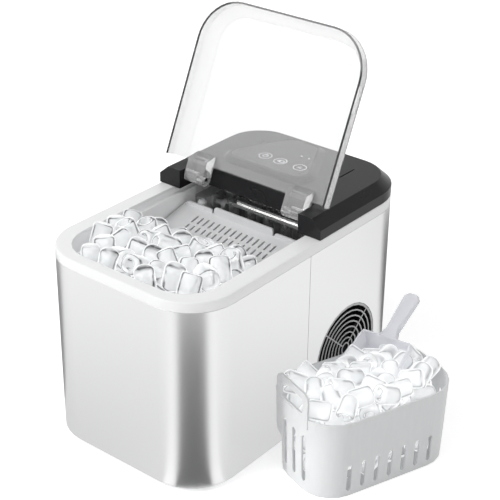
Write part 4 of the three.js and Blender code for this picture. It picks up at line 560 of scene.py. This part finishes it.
# %% Touch panel
ICON_RADIUS = 7.4
LIGHT_RADIUS = 1.1
ICONS = {"power": (-28, 98), "size": (-6, 97), "clean": (20.6, 97.4)}
LIGHTS = ((4, 123), (14.5, 123))
printed = ring(*ICONS["power"], ICON_RADIUS)
for key in ("size", "clean"):
    printed = printed | ring(*ICONS[key], ICON_RADIUS)
x, y = ICONS["power"]
printed = printed | ring(x, y, 3.0) | bar(x, y + 2.4, 0.35, 2.0)
x, y = ICONS["size"]
printed = printed | ring(x - 1.6, y, 1.7) | ring(x + 2.0, y, 2.6)
x, y = ICONS["clean"]
printed = printed | bar(x, y - 1.6, 3.2, 0.3) | bar(x, y + 0.2, 2.2, 0.3) | bar(x, y + 2.0, 1.2, 0.3)
for light in LIGHTS:
    printed = printed | dot(*light, LIGHT_RADIUS)
smear = lens.noise(30, detail=4)
lens.drive(
    Base_Color=lens.mix(printed, (0.022, 0.023, 0.025), (0.85, 0.86, 0.87)),
    Roughness=spread(smear, 0.08, 0.20),
    Emission_Color=lens.mix(printed, grey(0.0), (0.42, 0.43, 0.44)),
)
lens.shine()
dress(lens, ["touch_panel"], 0.3)

# %% [markdown]
# ## One bullet of ice
#
# The machine freezes ice round warm metal fingers, so each piece is a thick-walled thimble: round at one
# end and hollow from the other. It is a body of revolution, and the quickest way to such a mesh is to spin
# a profile. All of its sizes are in millimetres.

# %% Bullet profile
BULLET_RADIUS = 11.5
BULLET_LENGTH = 27.0
BORE_RADIUS = 5.5
BORE_DEPTH = 18.0


def bullet_profile():
    """(radius, height) pairs from the closed tip, over the outside, round the rim and down the bore."""
    r, top = BULLET_RADIUS, BULLET_LENGTH
    dome = [(0.0, 0.0), (r * 0.60, 0.2), (r * 0.82, 1.0), (r * 0.94, 2.5), (r * 0.99, 4.6)]
    side = [(r * 1.0, 8.0), (r * 0.99, top - 4), (r * 0.95, top - 1.4), (r * 0.84, top - 0.2)]
    rim = [(BORE_RADIUS + 1.2, top), (BORE_RADIUS, top - 1.4)]
    bore = [(BORE_RADIUS * 0.9, top - BORE_DEPTH * 0.7), (BORE_RADIUS * 0.5, top - BORE_DEPTH)]
    return dome + side + rim + bore + [(0.0, top - BORE_DEPTH - 0.8)]


PROFILE = bullet_profile()
print("profile of", len(PROFILE), "points")

# %% [markdown]
# No two bullets are alike: each has its own size, and a few slow waves round its wall keep it from looking
# turned on a lathe. The waves twist a little from the tip to the mouth. They fade towards the middle line,
# where the profile's first and last points are shared by all sides.

# %% Bullet mesh
SIDES = 18
SIZES = (0.88, 1.06)
WAVE_COUNTS = (2, 4)
WAVE_DEPTHS = (0.1, 0.45)
WAVE_PHASES = (0, 6.3)
WAVE_TWIST = 0.12


def bullet_vertices(rng):
    """One bullet's points in millimetres, a little wavy and of its own size."""
    size = rng.uniform(*SIZES)
    waves = [
        (rng.randint(*WAVE_COUNTS), rng.uniform(*WAVE_PHASES), rng.uniform(*WAVE_DEPTHS))
        for _ in range(2)
    ]
    points = []
    for radius, height in PROFILE:
        if radius == 0:
            points.append(Vector((0, 0, height * size)))
            continue
        for i in range(SIDES):
            angle = 2 * math.pi * i / SIDES
            twist = height * WAVE_TWIST
            wave = sum(depth * math.sin(count * angle + phase + twist) for count, phase, depth in waves)
            r = radius * size + wave * min(1, radius / BULLET_RADIUS)
            points.append(Vector((r * math.cos(angle), r * math.sin(angle), height * size)))
    return [p - Vector((0, 0, BULLET_LENGTH / 2)) for p in points]


def bullet_faces(first):
    """Faces of one bullet whose points start at index first."""
    rings = []
    index = first
    for radius, _ in PROFILE:
        count = 1 if radius == 0 else SIDES
        rings.append(list(range(index, index + count)))
        index += count
    faces = []
    for low, high in zip(rings, rings[1:]):
        for i in range(SIDES):
            j = (i + 1) % SIDES
            if len(low) == 1:
                faces.append((low[0], high[j], high[i]))
            elif len(high) == 1:
                faces.append((low[i], low[j], high[0]))
            else:
                faces.append((low[i], low[j], high[j], high[i]))
    return faces


print("bullet of", 2 + SIDES * (len(PROFILE) - 2), "points")

# %% [markdown]
# ## The look of ice
#
# Clear ice in a heap shows three things, and here all three are painted into the colour. The body is pale
# and a little cloudy, because light scatters in it, and its sides are painted a greyer shade. Just inside
# the outline a thin dark arc is painted, a painted shade for where the wall bends the view most. Outside
# that arc the outline is painted white, a painted highlight. All three follow from how much a face turns
# away, which the Layer Weight node gives from 0 to 1. A noise breaks the arcs up, as no bullet has a whole
# one. A weak emission stands in for the scattered light, which would need many bounces: painted light,
# brighter at the painted white outline. Ice in the basket is frostier, so its arcs are weaker.

# %% Ice finishes
PAINTED_ARC_AT = 0.44
PAINTED_ARC_WIDTH = 0.13
PAINTED_HIGHLIGHT_FROM = 0.56
PAINTED_HIGHLIGHT_RISE = 8.0
PAINTED_HIGHLIGHT_GLOW = 0.3


def ice_finish(name, clearness, painted_arc_strength, glow):
    """Ice with cloudy cores and painted light; painted_arc_strength sets its painted arcs, glow its painted
    scatter.
    """
    finish = Finish(name, Transmission_Weight=clearness, IOR=1.31, Specular_IOR_Level=0.15)
    frost = finish.noise(150, detail=4)
    veins = finish.noise(48, detail=2)
    facing = finish.node("ShaderNodeLayerWeight", sockets={"Blend": 0.5}, output="Facing")
    patches = spread(finish.noise(60, detail=1), -3.0, 5.0).clamped()
    # Painted light: the sides get a painted grey shade, a dark arc is painted just inside the outline, and
    # the outline is painted white, each by how far a face turns from the view.
    shade = (facing * 2.0).clamped()
    rim = ((facing - PAINTED_HIGHLIGHT_FROM) * PAINTED_HIGHLIGHT_RISE).clamped()
    painted_arc = (1 - abs(facing - PAINTED_ARC_AT) / PAINTED_ARC_WIDTH).clamped()
    line = (painted_arc * patches * painted_arc_strength).clamped()
    core = spread(veins, -2.2, 3.0).clamped() * 0.5
    face = finish.mix(frost, (0.95, 0.96, 0.965), (0.99, 0.993, 0.995))
    face = finish.mix(core, face, (0.70, 0.72, 0.74))
    side = finish.mix(shade * 0.5, face, (0.62, 0.64, 0.66))
    edge = finish.mix(rim, side, (0.97, 0.975, 0.98))
    # The emission is painted light for the inner scatter, stronger at the painted white outline.
    bright = finish.mix(rim, grey(glow), grey(PAINTED_HIGHLIGHT_GLOW))
    finish.drive(
        Base_Color=finish.mix(line, edge, (0.01, 0.01, 0.012)),
        Roughness=spread(veins, 0.02, 0.12),
        Normal=finish.bump(frost, 0.2, strength=0.3),
        Emission_Color=finish.mix(line, bright, grey(0.0)),
    )
    finish.shine()
    return finish


clear_ice = ice_finish("clear_ice", clearness=0.6, painted_arc_strength=1.0, glow=0.13)
snowy_ice = ice_finish("snowy_ice", clearness=0.5, painted_arc_strength=0.5, glow=0.17)
print("ice finishes", clear_ice.material.name, snowy_ice.material.name)

# %% [markdown]
# ## Piling the ice
#
# A physics run would pile the bullets well, but it is slow and needs care to come out the same each time.
# The heap is only seen from above, so a simpler way is enough: a list of spots, and one mesh with a bullet
# at each. The same random seed always gives the same heap.

# %% Heap maker
def pile(name, spots, body, seed, ice):
    """One mesh with a bullet at each (place in metres, tilt, turn) in spots."""
    rng = random.Random(seed)
    points, faces = [], []
    for place, tilt, turn in spots:
        rotation = Euler((tilt, 0, turn), "XYZ").to_matrix()
        first = len(points)
        points += [rotation @ (p * MM) + Vector(place) for p in bullet_vertices(rng)]
        faces += bullet_faces(first)
    mesh = bpy.data.meshes.new(name)
    mesh.from_pydata([tuple(p) for p in points], [], faces)
    mesh.update()
    mesh.shade_smooth()
    obj = bpy.data.objects.new(name, mesh)
    bpy.context.scene.collection.objects.link(obj)
    obj.data.materials.append(ice.material)
    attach(obj, body)
    print(name, len(spots), "bullets")
    return obj


print("heap maker ready for bullets of", 2 + SIDES * (len(PROFILE) - 2), "points")

# %% [markdown]
# A bullet that falls on others mostly ends up on its side. At the top of a full bin some also stand, more
# of them with the closed end up, as the mouth is the flat end. So there are two ways to draw a bullet's
# pose.

# %% Poses of a bullet
FULL_TURN = 2 * math.pi
LYING_TILTS = (58, 112)
LEANS = (-38, 38)
TIP_UP_SHARE = 0.62
STANDING_SHARE = 0.80


def lying(rng):
    """A tilt and a turn for a bullet that mostly lies on its side."""
    return math.radians(rng.choice((-1, 1)) * rng.uniform(*LYING_TILTS)), rng.uniform(0, FULL_TURN)


def standing(rng):
    """A tilt and a turn for a bullet that stands or leans, most often with its closed end up."""
    lean = rng.uniform(*LEANS)
    kind = rng.random()
    if kind < TIP_UP_SHARE:
        return math.radians(180 + lean), rng.uniform(0, FULL_TURN)
    if kind < STANDING_SHARE:
        return math.radians(lean), rng.uniform(0, FULL_TURN)
    return lying(rng)


print("closed end up for", TIP_UP_SHARE, "of the top bullets")

# %% [markdown]
# The spots come from grids, one for each layer, that follow the heap's own surface downwards. A grid alone
# would look laid by hand, so each spot is jittered, and every second layer is shifted by half a step, as
# balls in a box settle. A spot is kept only where a bullet's radius fits between it and the walls.

# %% Layers
JITTER = 3
JITTER_UP = 2.5
WIDER = 1.12


def layered(rng, inside, surface, centre, half_x, half_y, layers, step, rise=15.5, pose=lying):
    """Bullet spots on jittered grids, one grid for each layer under the surface.

    inside and surface are functions of a point in plan, in metres. The grid's half sizes, its step and the
    rise from layer to layer are in millimetres. pose draws the top layer's poses.
    """
    spots = []
    for layer in range(layers):
        shift = (layer % 2) * step / 2
        y = -half_y + shift
        while y <= half_y:
            x = -half_x + shift
            while x <= half_x:
                px = centre[0] + (x + rng.uniform(-JITTER, JITTER)) * MM
                py = centre[1] + (y + rng.uniform(-JITTER, JITTER)) * MM
                if inside(px, py, BULLET_RADIUS * MM):
                    sunk = BULLET_RADIUS + layer * rise + rng.uniform(-JITTER_UP, JITTER_UP)
                    z = surface(px, py) - sunk * MM
                    spots.append(((px, py, z), *(pose(rng) if layer == 0 else lying(rng))))
                x += step * WIDER
            y += step
    return spots


print("layers are jittered by", JITTER, "mm")

# %% [markdown]
# ## Ice in the bin
#
# The bin is full: the heap stands highest along the front wall, where the shovel throws the ice, and falls
# towards the shovel. Its walls and its surface are two small functions of a point in plan.

# %% Bin walls
BIN_WALL = 13 * MM
BIN_HALF = 92 * MM
BIN_DEPTH = 122 * MM
BIN_CORNER = 40 * MM
HEAP_TOP = 231
HEAP_LENGTH = 150 * MM
SLOPE_FROM = 0.62
SLOPE = 90
bin_front = machine_front + BIN_WALL


def inside_bin(x, y, margin):
    """Whether a point in plan keeps margin from the bin's walls."""
    dx = abs(x - machine_x)
    dy = y - bin_front
    if dx > BIN_HALF - margin or dy < margin or dy > BIN_DEPTH:
        return False
    cx, cy = dx - (BIN_HALF - BIN_CORNER), BIN_CORNER - dy
    return not (cx > 0 and cy > 0 and math.hypot(cx, cy) > BIN_CORNER - margin)


def bin_surface(x, y):
    """Height of the heap at a point in plan: level, then falling from SLOPE_FROM of its length on."""
    back = (y - bin_front) / HEAP_LENGTH
    return (HEAP_TOP - SLOPE * max(0, back - SLOPE_FROM)) * MM


print("bin from", round(bin_front, 4), "filled to", HEAP_TOP, "mm")

# %% [markdown]
# Four layers fill the bin as deep as anyone can see into it. The steps between the bullets are a little
# larger than in the basket, because the standing ones on top need the room.

# %% Bin ice
BIN_MIDDLE = 68 * MM
bin_centre = (machine_x, bin_front + BIN_MIDDLE)
bin_grid = {"half_x": 80, "half_y": 56, "layers": 4, "step": 21.5, "rise": 18}
bin_spots = layered(random.Random(11), inside_bin, bin_surface, bin_centre, **bin_grid, pose=standing)
pile("bin_ice", bin_spots, "casing", 3, clear_ice)

# %% [markdown]
# ## Ice in the basket
#
# The basket stands turned beside the machine, so its ice is worked out in the basket's own directions and
# then turned with it. The middle is measured from the basket's points below the rim, so the handle doesn't
# count.

# %% Basket directions
BASKET_TURN = math.radians(70)
BASKET_RIM = 92.5 * MM
basket_points = [v.co for v in nodes["basket"].data.vertices if v.co.z < BASKET_RIM]
along = Vector((math.cos(BASKET_TURN), math.sin(BASKET_TURN), 0))
across = Vector((-math.sin(BASKET_TURN), math.cos(BASKET_TURN), 0))
spans = [[p.dot(direction) for p in basket_points] for direction in (along, across)]
middle = [(min(span) + max(span)) / 2 for span in spans]
basket_centre = along * middle[0] + across * middle[1]


def basket_local(x, y):
    """A point in plan as metres along and across the basket."""
    offset = Vector((x, y, 0)) - basket_centre
    return offset.dot(along), offset.dot(across)


print("basket centre", [round(n, 4) for n in basket_centre])

# %% [markdown]
# The heap is a low dome that rises above the rim in the middle. One long wall steps in below half height,
# so low bullets keep further from that wall.

# %% Basket walls
BASKET_HALF = (84 * MM, 51 * MM)
BASKET_CORNER = 36 * MM
DOME_TOP = 113
DOME_FALL = (9, 8)
DOME_HALF = (0.086, 0.053)
BASKET_FLOOR = 14 * MM
LEDGE_TOP = 46 * MM
LEDGE = 12 * MM
LEDGE_MARGIN = 13 * MM


def inside_basket(x, y, margin, ledge=0.0):
    """Whether a point in plan keeps margin from the walls; ledge is how far one long wall steps in."""
    u, v = basket_local(x, y)
    half_u, half_v = BASKET_HALF
    if v > 0:
        half_v -= ledge
    if abs(u) > half_u - margin or abs(v) > half_v - margin:
        return False
    cu, cv = abs(u) - (half_u - BASKET_CORNER), abs(v) - (half_v - BASKET_CORNER)
    return not (cu > 0 and cv > 0 and math.hypot(cu, cv) > BASKET_CORNER - margin)


def basket_surface(x, y):
    """Height of the heap at a point in plan, a dome."""
    u, v = basket_local(x, y)
    return (DOME_TOP - DOME_FALL[0] * (u / DOME_HALF[0]) ** 2 - DOME_FALL[1] * (v / DOME_HALF[1]) ** 2) * MM


def fits_basket(spot):
    """Whether a bullet lies above the basket's floor and, low down, clear of its stepped wall."""
    x, y, z = spot[0]
    return z > BASKET_FLOOR and (z > LEDGE_TOP or inside_basket(x, y, LEDGE_MARGIN, LEDGE))


print("basket filled to", DOME_TOP, "mm in its middle")

# %% [markdown]
# Six layers reach from the dome down to the floor, because the slots in the wall show the lowest ice too.
# The grid is square and large enough for the turned basket, and what lies outside the walls is left out.

# %% Basket ice
basket_grid = {"half_x": 92, "half_y": 92, "layers": 6, "step": 19.5}
basket_spots = layered(random.Random(23), inside_basket, basket_surface, basket_centre, **basket_grid)
basket_spots = [spot for spot in basket_spots if fits_basket(spot)]
basket_ice = pile("basket_ice", basket_spots, "basket", 7, snowy_ice)

# %% [markdown]
# ## Ice in the scoop
#
# The scoop has just been used, so a few bullets lie in its bowl. They ride with the scoop. Their places are
# given in the bowl's own directions: out from its back wall, and up from its floor. The bowl is the part of
# the scoop that is wider than its handle.

# %% Scoop directions
SCOOP_LEAN = math.radians(22)
SCOOP_HEADING = math.radians(97)
handle_way = Vector((
    math.cos(SCOOP_HEADING) * math.cos(SCOOP_LEAN),
    math.sin(SCOOP_HEADING) * math.cos(SCOOP_LEAN),
    math.sin(SCOOP_LEAN),
))
side_way = Vector((math.sin(SCOOP_HEADING), -math.cos(SCOOP_HEADING), 0))
up_way = side_way.cross(handle_way)
HALF_HANDLE = 14 * MM
scoop_points = [v.co for v in nodes["scoop"].data.vertices]
scoop_middle = sum(p.dot(side_way) for p in scoop_points) / len(scoop_points)
bowl_points = [p for p in scoop_points if abs(p.dot(side_way) - scoop_middle) > HALF_HANDLE]
bowl_sides = [p.dot(side_way) for p in bowl_points]
back_wall = max(p.dot(handle_way) for p in bowl_points)
bowl_floor = min(p.dot(up_way) for p in scoop_points)
bowl_middle = (min(bowl_sides) + max(bowl_sides)) / 2


def in_bowl(side, out, up):
    """A place in the scoop's bowl: across it, out from its back wall, up from its floor, in millimetres."""
    return (
        side_way * (bowl_middle + side * MM)
        + handle_way * (back_wall - out * MM)
        + up_way * (bowl_floor + up * MM)
    )


print("bowl's back wall at", round(back_wall, 4), "floor at", round(bowl_floor, 4))

# %% [markdown]
# Three bullets are enough for a half-full scoop. They lie on their sides, one near the back wall and two
# further out.

# %% Scoop ice
scoop_rng = random.Random(5)
scoop_places = [(-9, 20, 15), (14, 34, 14), (-10, 46, 14)]
scoop_spots = [(tuple(in_bowl(*p)), *lying(scoop_rng)) for p in scoop_places]
scoop_ice = pile("scoop_ice", scoop_spots, "scoop", 9, snowy_ice)

# %% [markdown]
# ## Small screws
#
# The back sheet is held by pan-head screws along its edges. They are too small for the rigid model, and big
# enough to see. Each head is a low dome with a cross cut into it: a spun profile, with the cross sunk by
# moving the inner points down.

# %% Screw head
HEAD_RADIUS = 3.2 * MM
HEAD_HEIGHT = 1.8 * MM
HEAD_SIDES = 24
HEAD_PROFILE = [(1.0, 0.0), (1.0, 0.35), (0.86, 0.75), (0.60, 0.96), (0.45, 1.0), (0.30, 1.0), (0.15, 1.0)]
CROSS_REACH = 0.5
CROSS_HALF_WIDTH = 0.12
CROSS_DEPTH = 0.45


def screw_mesh(radius, height):
    """A pan head along +Z with a cross recess, in metres."""
    mesh = bpy.data.meshes.new("screw_head")
    work = bmesh.new()
    loops = []
    for fraction, level in HEAD_PROFILE:
        loop = []
        for i in range(HEAD_SIDES):
            angle = 2 * math.pi * i / HEAD_SIDES
            x, y = radius * fraction * math.cos(angle), radius * fraction * math.sin(angle)
            in_cross = min(abs(x), abs(y)) < radius * CROSS_HALF_WIDTH and fraction < CROSS_REACH
            drop = CROSS_DEPTH * height if in_cross else 0.0
            loop.append(work.verts.new((x, y, height * level - drop)))
        loops.append(loop)
    for low, high in zip(loops, loops[1:]):
        for i in range(HEAD_SIDES):
            j = (i + 1) % HEAD_SIDES
            work.faces.new((low[i], low[j], high[j], high[i]))
    work.faces.new(loops[-1])
    work.faces.new(list(reversed(loops[0])))
    work.to_mesh(mesh)
    work.free()
    mesh.shade_smooth()
    return mesh


screw_steel = stained_metal("screw_steel", (0.55, 0.55, 0.56), (0.72, 0.72, 0.73), (0.2, 0.35), 900)
screw_head = screw_mesh(HEAD_RADIUS, HEAD_HEIGHT)
screw_head.materials.append(screw_steel.material)
print("screw head of", len(screw_head.vertices), "points")

# %% [markdown]
# Three screws stand on either side of the back, all with the same mesh. The head was made along Z, so a
# quarter turn about X makes it face backwards.

# %% Screws
SCREW_SIDE = 50
SCREW_HEIGHTS = (62, 132, 202)
face_back = Matrix.Rotation(math.radians(-90), 4, "X")
back_spots = [(side * SCREW_SIDE, height) for side in (-1, 1) for height in SCREW_HEIGHTS]
for number, (x, z) in enumerate(back_spots):
    screw = bpy.data.objects.new(f"back_screw_{number}", screw_head)
    screw.matrix_world = Matrix.Translation((machine_x + x * MM, machine_back, z * MM)) @ face_back
    bpy.context.scene.collection.objects.link(screw)
    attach(screw, "casing")
print(len(back_spots), "screws on the back")

# %% [markdown]
# ## Floor and room
#
# A plain white floor runs out to a white world, so there is no horizon. What a ray comes from decides
# what it meets. The camera, also through the clear lid, meets white paper with the object's shadow on it.
# A ray that the metal mirrors meets a floor that glows white far away and greyer near the machine: a painted
# shade, as if the machine shaded it. That painted shade gives the flat steel its slow change from grey to
# white.

# %% Floor
FLOOR_REACH = 6.0
SHADE_START = 0.04
SHADE_WIDTH = 0.42
SHADE_OFFSET = (-0.065, -0.08)
PAPER_GLOW = 0.46
PAINTED_SHADE_GREY = 0.67
floor_mesh = bpy.data.meshes.new("floor")
floor_corners = [(x * FLOOR_REACH, y * FLOOR_REACH, 0) for x, y in ((-1, -1), (1, -1), (1, 1), (-1, 1))]
floor_mesh.from_pydata(floor_corners, [], [(0, 1, 2, 3)])
floor = bpy.data.objects.new("floor", floor_mesh)
bpy.context.scene.collection.objects.link(floor)
paper = Finish("white_paper", Roughness=0.7)
kinds = ("Is Camera Ray", "Is Glossy Ray", "Is Transmission Ray")
by_camera, by_gloss, through_clear = (paper.node("ShaderNodeLightPath", output=kind) for kind in kinds)
fibre = paper.mix(paper.noise(3), grey(0.90), grey(0.92))
shade_y = (machine_front + machine_back) / 2
shade_middle = (machine_x + SHADE_OFFSET[0], shade_y + SHADE_OFFSET[1], 0)
from_middle = paper.node(
    "ShaderNodeVectorMath", {"operation": "DISTANCE"}, {0: paper.place(), 1: shade_middle}, output="Value"
)
# For reflections the floor is a glow with a painted shade: grey near the machine, white further out.
away = ((from_middle - SHADE_START) / SHADE_WIDTH).clamped()
painted_shade_in_metal = paper.mix(away, grey(PAINTED_SHADE_GREY), grey(1.0))
glow = paper.mix(by_camera | through_clear, grey(0.0), grey(PAPER_GLOW))
paper.drive(
    Base_Color=paper.mix(by_gloss, fibre, grey(0.05)),
    Emission_Color=paper.mix(by_gloss, glow, painted_shade_in_metal),
)
paper.shine()
floor.data.materials.append(paper.material)
print("floor of", 2 * FLOOR_REACH, "metres")

# %% [markdown]
# The world follows the same plan. The camera meets white, and a ray that the object scatters meets a dimmer
# world, so that shade stays visible. A ray that metal mirrors meets a room with a darker ceiling, which
# keeps bright metal from being white on every side. Generated coordinates give a ray's own direction there.

# %% Room
AMBIENT = 0.62
CEILING = 0.25
WALL_TOP = 0.48
CEILING_FROM = 0.68
world = bpy.data.worlds.new("studio")
bpy.context.scene.world = world
world.use_nodes = True
background = world.node_tree.nodes["Background"]
background.inputs["Color"].default_value = (1, 1, 1, 1)
air = Recipe(world.node_tree)
seen, mirrored, through = (air.node("ShaderNodeLightPath", output=kind) for kind in kinds)
way = air.node("ShaderNodeTexCoord", output="Generated")
height = air.node("ShaderNodeSeparateXYZ", sockets={0: way}, output="Z")
fade = {"Value": height, "From Min": WALL_TOP, "From Max": CEILING_FROM, "To Min": 1.0, "To Max": CEILING}
room = air.node("ShaderNodeMapRange", sockets=fade, output="Result")
shown = air.node("ShaderNodeMix", {"data_type": "FLOAT"}, {0: seen | through, 2: AMBIENT, 3: 1.0})
level = air.node("ShaderNodeMix", {"data_type": "FLOAT"}, {0: mirrored, 2: shown, 3: room})
world.node_tree.links.new(level.socket, background.inputs["Strength"])
print("world light", AMBIENT, "reflected ceiling", CEILING)

# %% [markdown]
# ## Lamps
#
# Two soft lamps give the object its shape: a large one from the upper left in front, and a weak one from
# the right that keeps the side in shade from going grey. A third is a small low lamp in front, with a
# narrow beam, as a snoot gives. It only reaches the basket's end wall, so that wall stands out white
# against the long one. It is hidden from reflections, or the steel would show it as a spot.

# %% Lamps
def lamp(name, place, aim, size, watts):
    """A square area lamp at a place, turned towards aim."""
    data = bpy.data.lights.new(name, "AREA")
    data.shape = "SQUARE"
    data.size = size
    data.energy = watts
    obj = bpy.data.objects.new(name, data)
    obj.location = place
    obj.rotation_euler = (Vector(aim) - Vector(place)).to_track_quat("-Z", "Y").to_euler()
    bpy.context.scene.collection.objects.link(obj)
    print(name, "at", place)
    return obj


SUBJECT = (0, 0, 0.15)
BASKET_END = (0.085, -0.11, 0.04)
BEAM_SPREAD = math.radians(15)
lamp("key", place=(-1.0, -1.75, 1.9), aim=SUBJECT, size=1.4, watts=37)
lamp("fill", place=(1.9, -0.6, 1.1), aim=SUBJECT, size=1.2, watts=3)
beam = lamp("beam", place=(-0.40, -0.95, 0.06), aim=BASKET_END, size=0.10, watts=0.032)
beam.data.spread = BEAM_SPREAD
beam.visible_glossy = False

# %% [markdown]
# ## Cards for the steel
#
# Brushed steel has no shade of its own: it shows what stands round it. In an all-white room its rounded
# corners vanish, so a studio lays dark cards beside such an object, and each corner then gets one dark
# band. Here a card is a fan that starts at a corner and lies on the floor. Only reflections see it, so it
# throws no shadow.

# %% Card maker
CARD_START = 0.05
CARD_HEIGHT = 0.0006
CARD_STEPS = 12
card_grey = Finish("card_grey", Roughness=0.9)
card_grey.drive(Base_Color=card_grey.mix(card_grey.noise(20), grey(0.12), grey(0.14)))
# This card glows, though it is no lamp, and only reflections see it: it gives the steel painted highlight
# lines.
card_glowing = Finish("card_glowing", Base_Color=(*grey(0.02), 1))
card_glowing.drive(Emission_Color=card_glowing.mix(card_glowing.noise(20), grey(1.12), grey(1.15)))
card_glowing.shine()


def card(name, corner, heading, half_angle, reach, finish=card_grey):
    """A fan-shaped card on the floor; heading and half_angle in degrees, reach in metres."""
    turns = [2 * i / CARD_STEPS - 1 for i in range(CARD_STEPS + 1)]
    angles = [math.radians(heading + half_angle * turn) for turn in turns]
    points = [
        (corner[0] + radius * math.cos(a), corner[1] + radius * math.sin(a), CARD_HEIGHT)
        for radius in (CARD_START, reach) for a in angles
    ]
    quads = [(i, i + 1, CARD_STEPS + 2 + i, CARD_STEPS + 1 + i) for i in range(CARD_STEPS)]
    mesh = bpy.data.meshes.new(name)
    mesh.from_pydata(points, [], quads)
    mesh.materials.append(finish.material)
    obj = bpy.data.objects.new(name, mesh)
    obj.visible_camera = False
    obj.visible_diffuse = False
    obj.visible_shadow = False
    obj.visible_transmission = False
    bpy.context.scene.collection.objects.link(obj)
    print(name, "towards", heading, "degrees")


print("cards start", CARD_START, "metres from their corner")

# %% [markdown]
# Three rounded corners get a dark card each. On either side of the front corner's card lies a glowing one,
# no lamp, that only reflections see: it gives the two painted highlight lines beside the band. The basket
# stands close to the steel flank and would be mirrored there as a dark block, so reflections skip it, its
# ice and the scoop.

# %% Cards
CORNER_ROOM = 0.045
DARK_REACH = 0.46
LIGHT_REACH = 0.60
front_left = (machine_x - half_width + CORNER_ROOM, machine_front + CORNER_ROOM)
front_right = (machine_x + half_width - CORNER_ROOM, machine_front + CORNER_ROOM)
back_right = (machine_x + half_width - CORNER_ROOM, machine_back - CORNER_ROOM)
card("card_front_right", front_right, heading=-49, half_angle=29, reach=DARK_REACH)
card("card_light_left", front_right, heading=-90, half_angle=9, reach=LIGHT_REACH, finish=card_glowing)
card("card_light_right", front_right, heading=-8, half_angle=9, reach=LIGHT_REACH, finish=card_glowing)
card("card_front_left", front_left, heading=165, half_angle=26, reach=DARK_REACH)
card("card_back_right", back_right, heading=88, half_angle=26, reach=DARK_REACH)
for piece in (nodes["basket"], nodes["scoop"], basket_ice, scoop_ice):
    piece.visible_glossy = False

# %% [markdown]
# ## Camera
#
# The camera stands about a metre and a half away, in front and to the right, looking down at 28 degrees.
# Its three direction vectors are worked out first: right, up, and back from the scene. Its small roll is a
# turn of the first two about the third.

# %% Camera directions
CAMERA_AZIMUTH = math.radians(38.653)
CAMERA_ELEVATION = math.radians(28.246)
CAMERA_ROLL = math.radians(0.690)
right = Vector((math.cos(CAMERA_AZIMUTH), math.sin(CAMERA_AZIMUTH), 0))
back = Vector((
    math.sin(CAMERA_AZIMUTH) * math.cos(CAMERA_ELEVATION),
    -math.cos(CAMERA_AZIMUTH) * math.cos(CAMERA_ELEVATION),
    math.sin(CAMERA_ELEVATION),
))
up = back.cross(right)
c, s = math.cos(CAMERA_ROLL), math.sin(CAMERA_ROLL)
right, up = right * c + up * s, up * c - right * s
print("camera looks along", [round(-n, 4) for n in back])

# %% [markdown]
# The three directions are the columns of the camera's rotation. Its place is measured from the machine's
# middle, and the longish lens keeps the machine's upright edges nearly parallel.

# %% Camera
CAMERA_OFFSET = (0.83697, -1.01161, 0.88320)
camera_data = bpy.data.cameras.new("camera")
camera_data.lens = 98.64
camera_data.sensor_width = 36.0
camera_data.clip_start = 0.05
camera_data.shift_x = 0.002
camera_data.shift_y = 0.008
camera = bpy.data.objects.new("camera", camera_data)
camera_place = Vector((CAMERA_OFFSET[0] + machine_x, CAMERA_OFFSET[1] + machine_y, CAMERA_OFFSET[2]))
rotation = Matrix((right, up, back)).transposed().to_4x4()
camera.matrix_world = Matrix.Translation(camera_place) @ rotation
bpy.context.scene.collection.objects.link(camera)
bpy.context.scene.camera = camera
bpy.context.scene.view_settings.view_transform = "Standard"
print("camera at", [round(n, 4) for n in camera_place])

# %% [markdown]
# ## The end
#
# The last cell brings the scene up to date and prints the names of the finishes.

# %% The end
bpy.context.view_layer.update()
print("finishes", ", ".join(Finish.made))
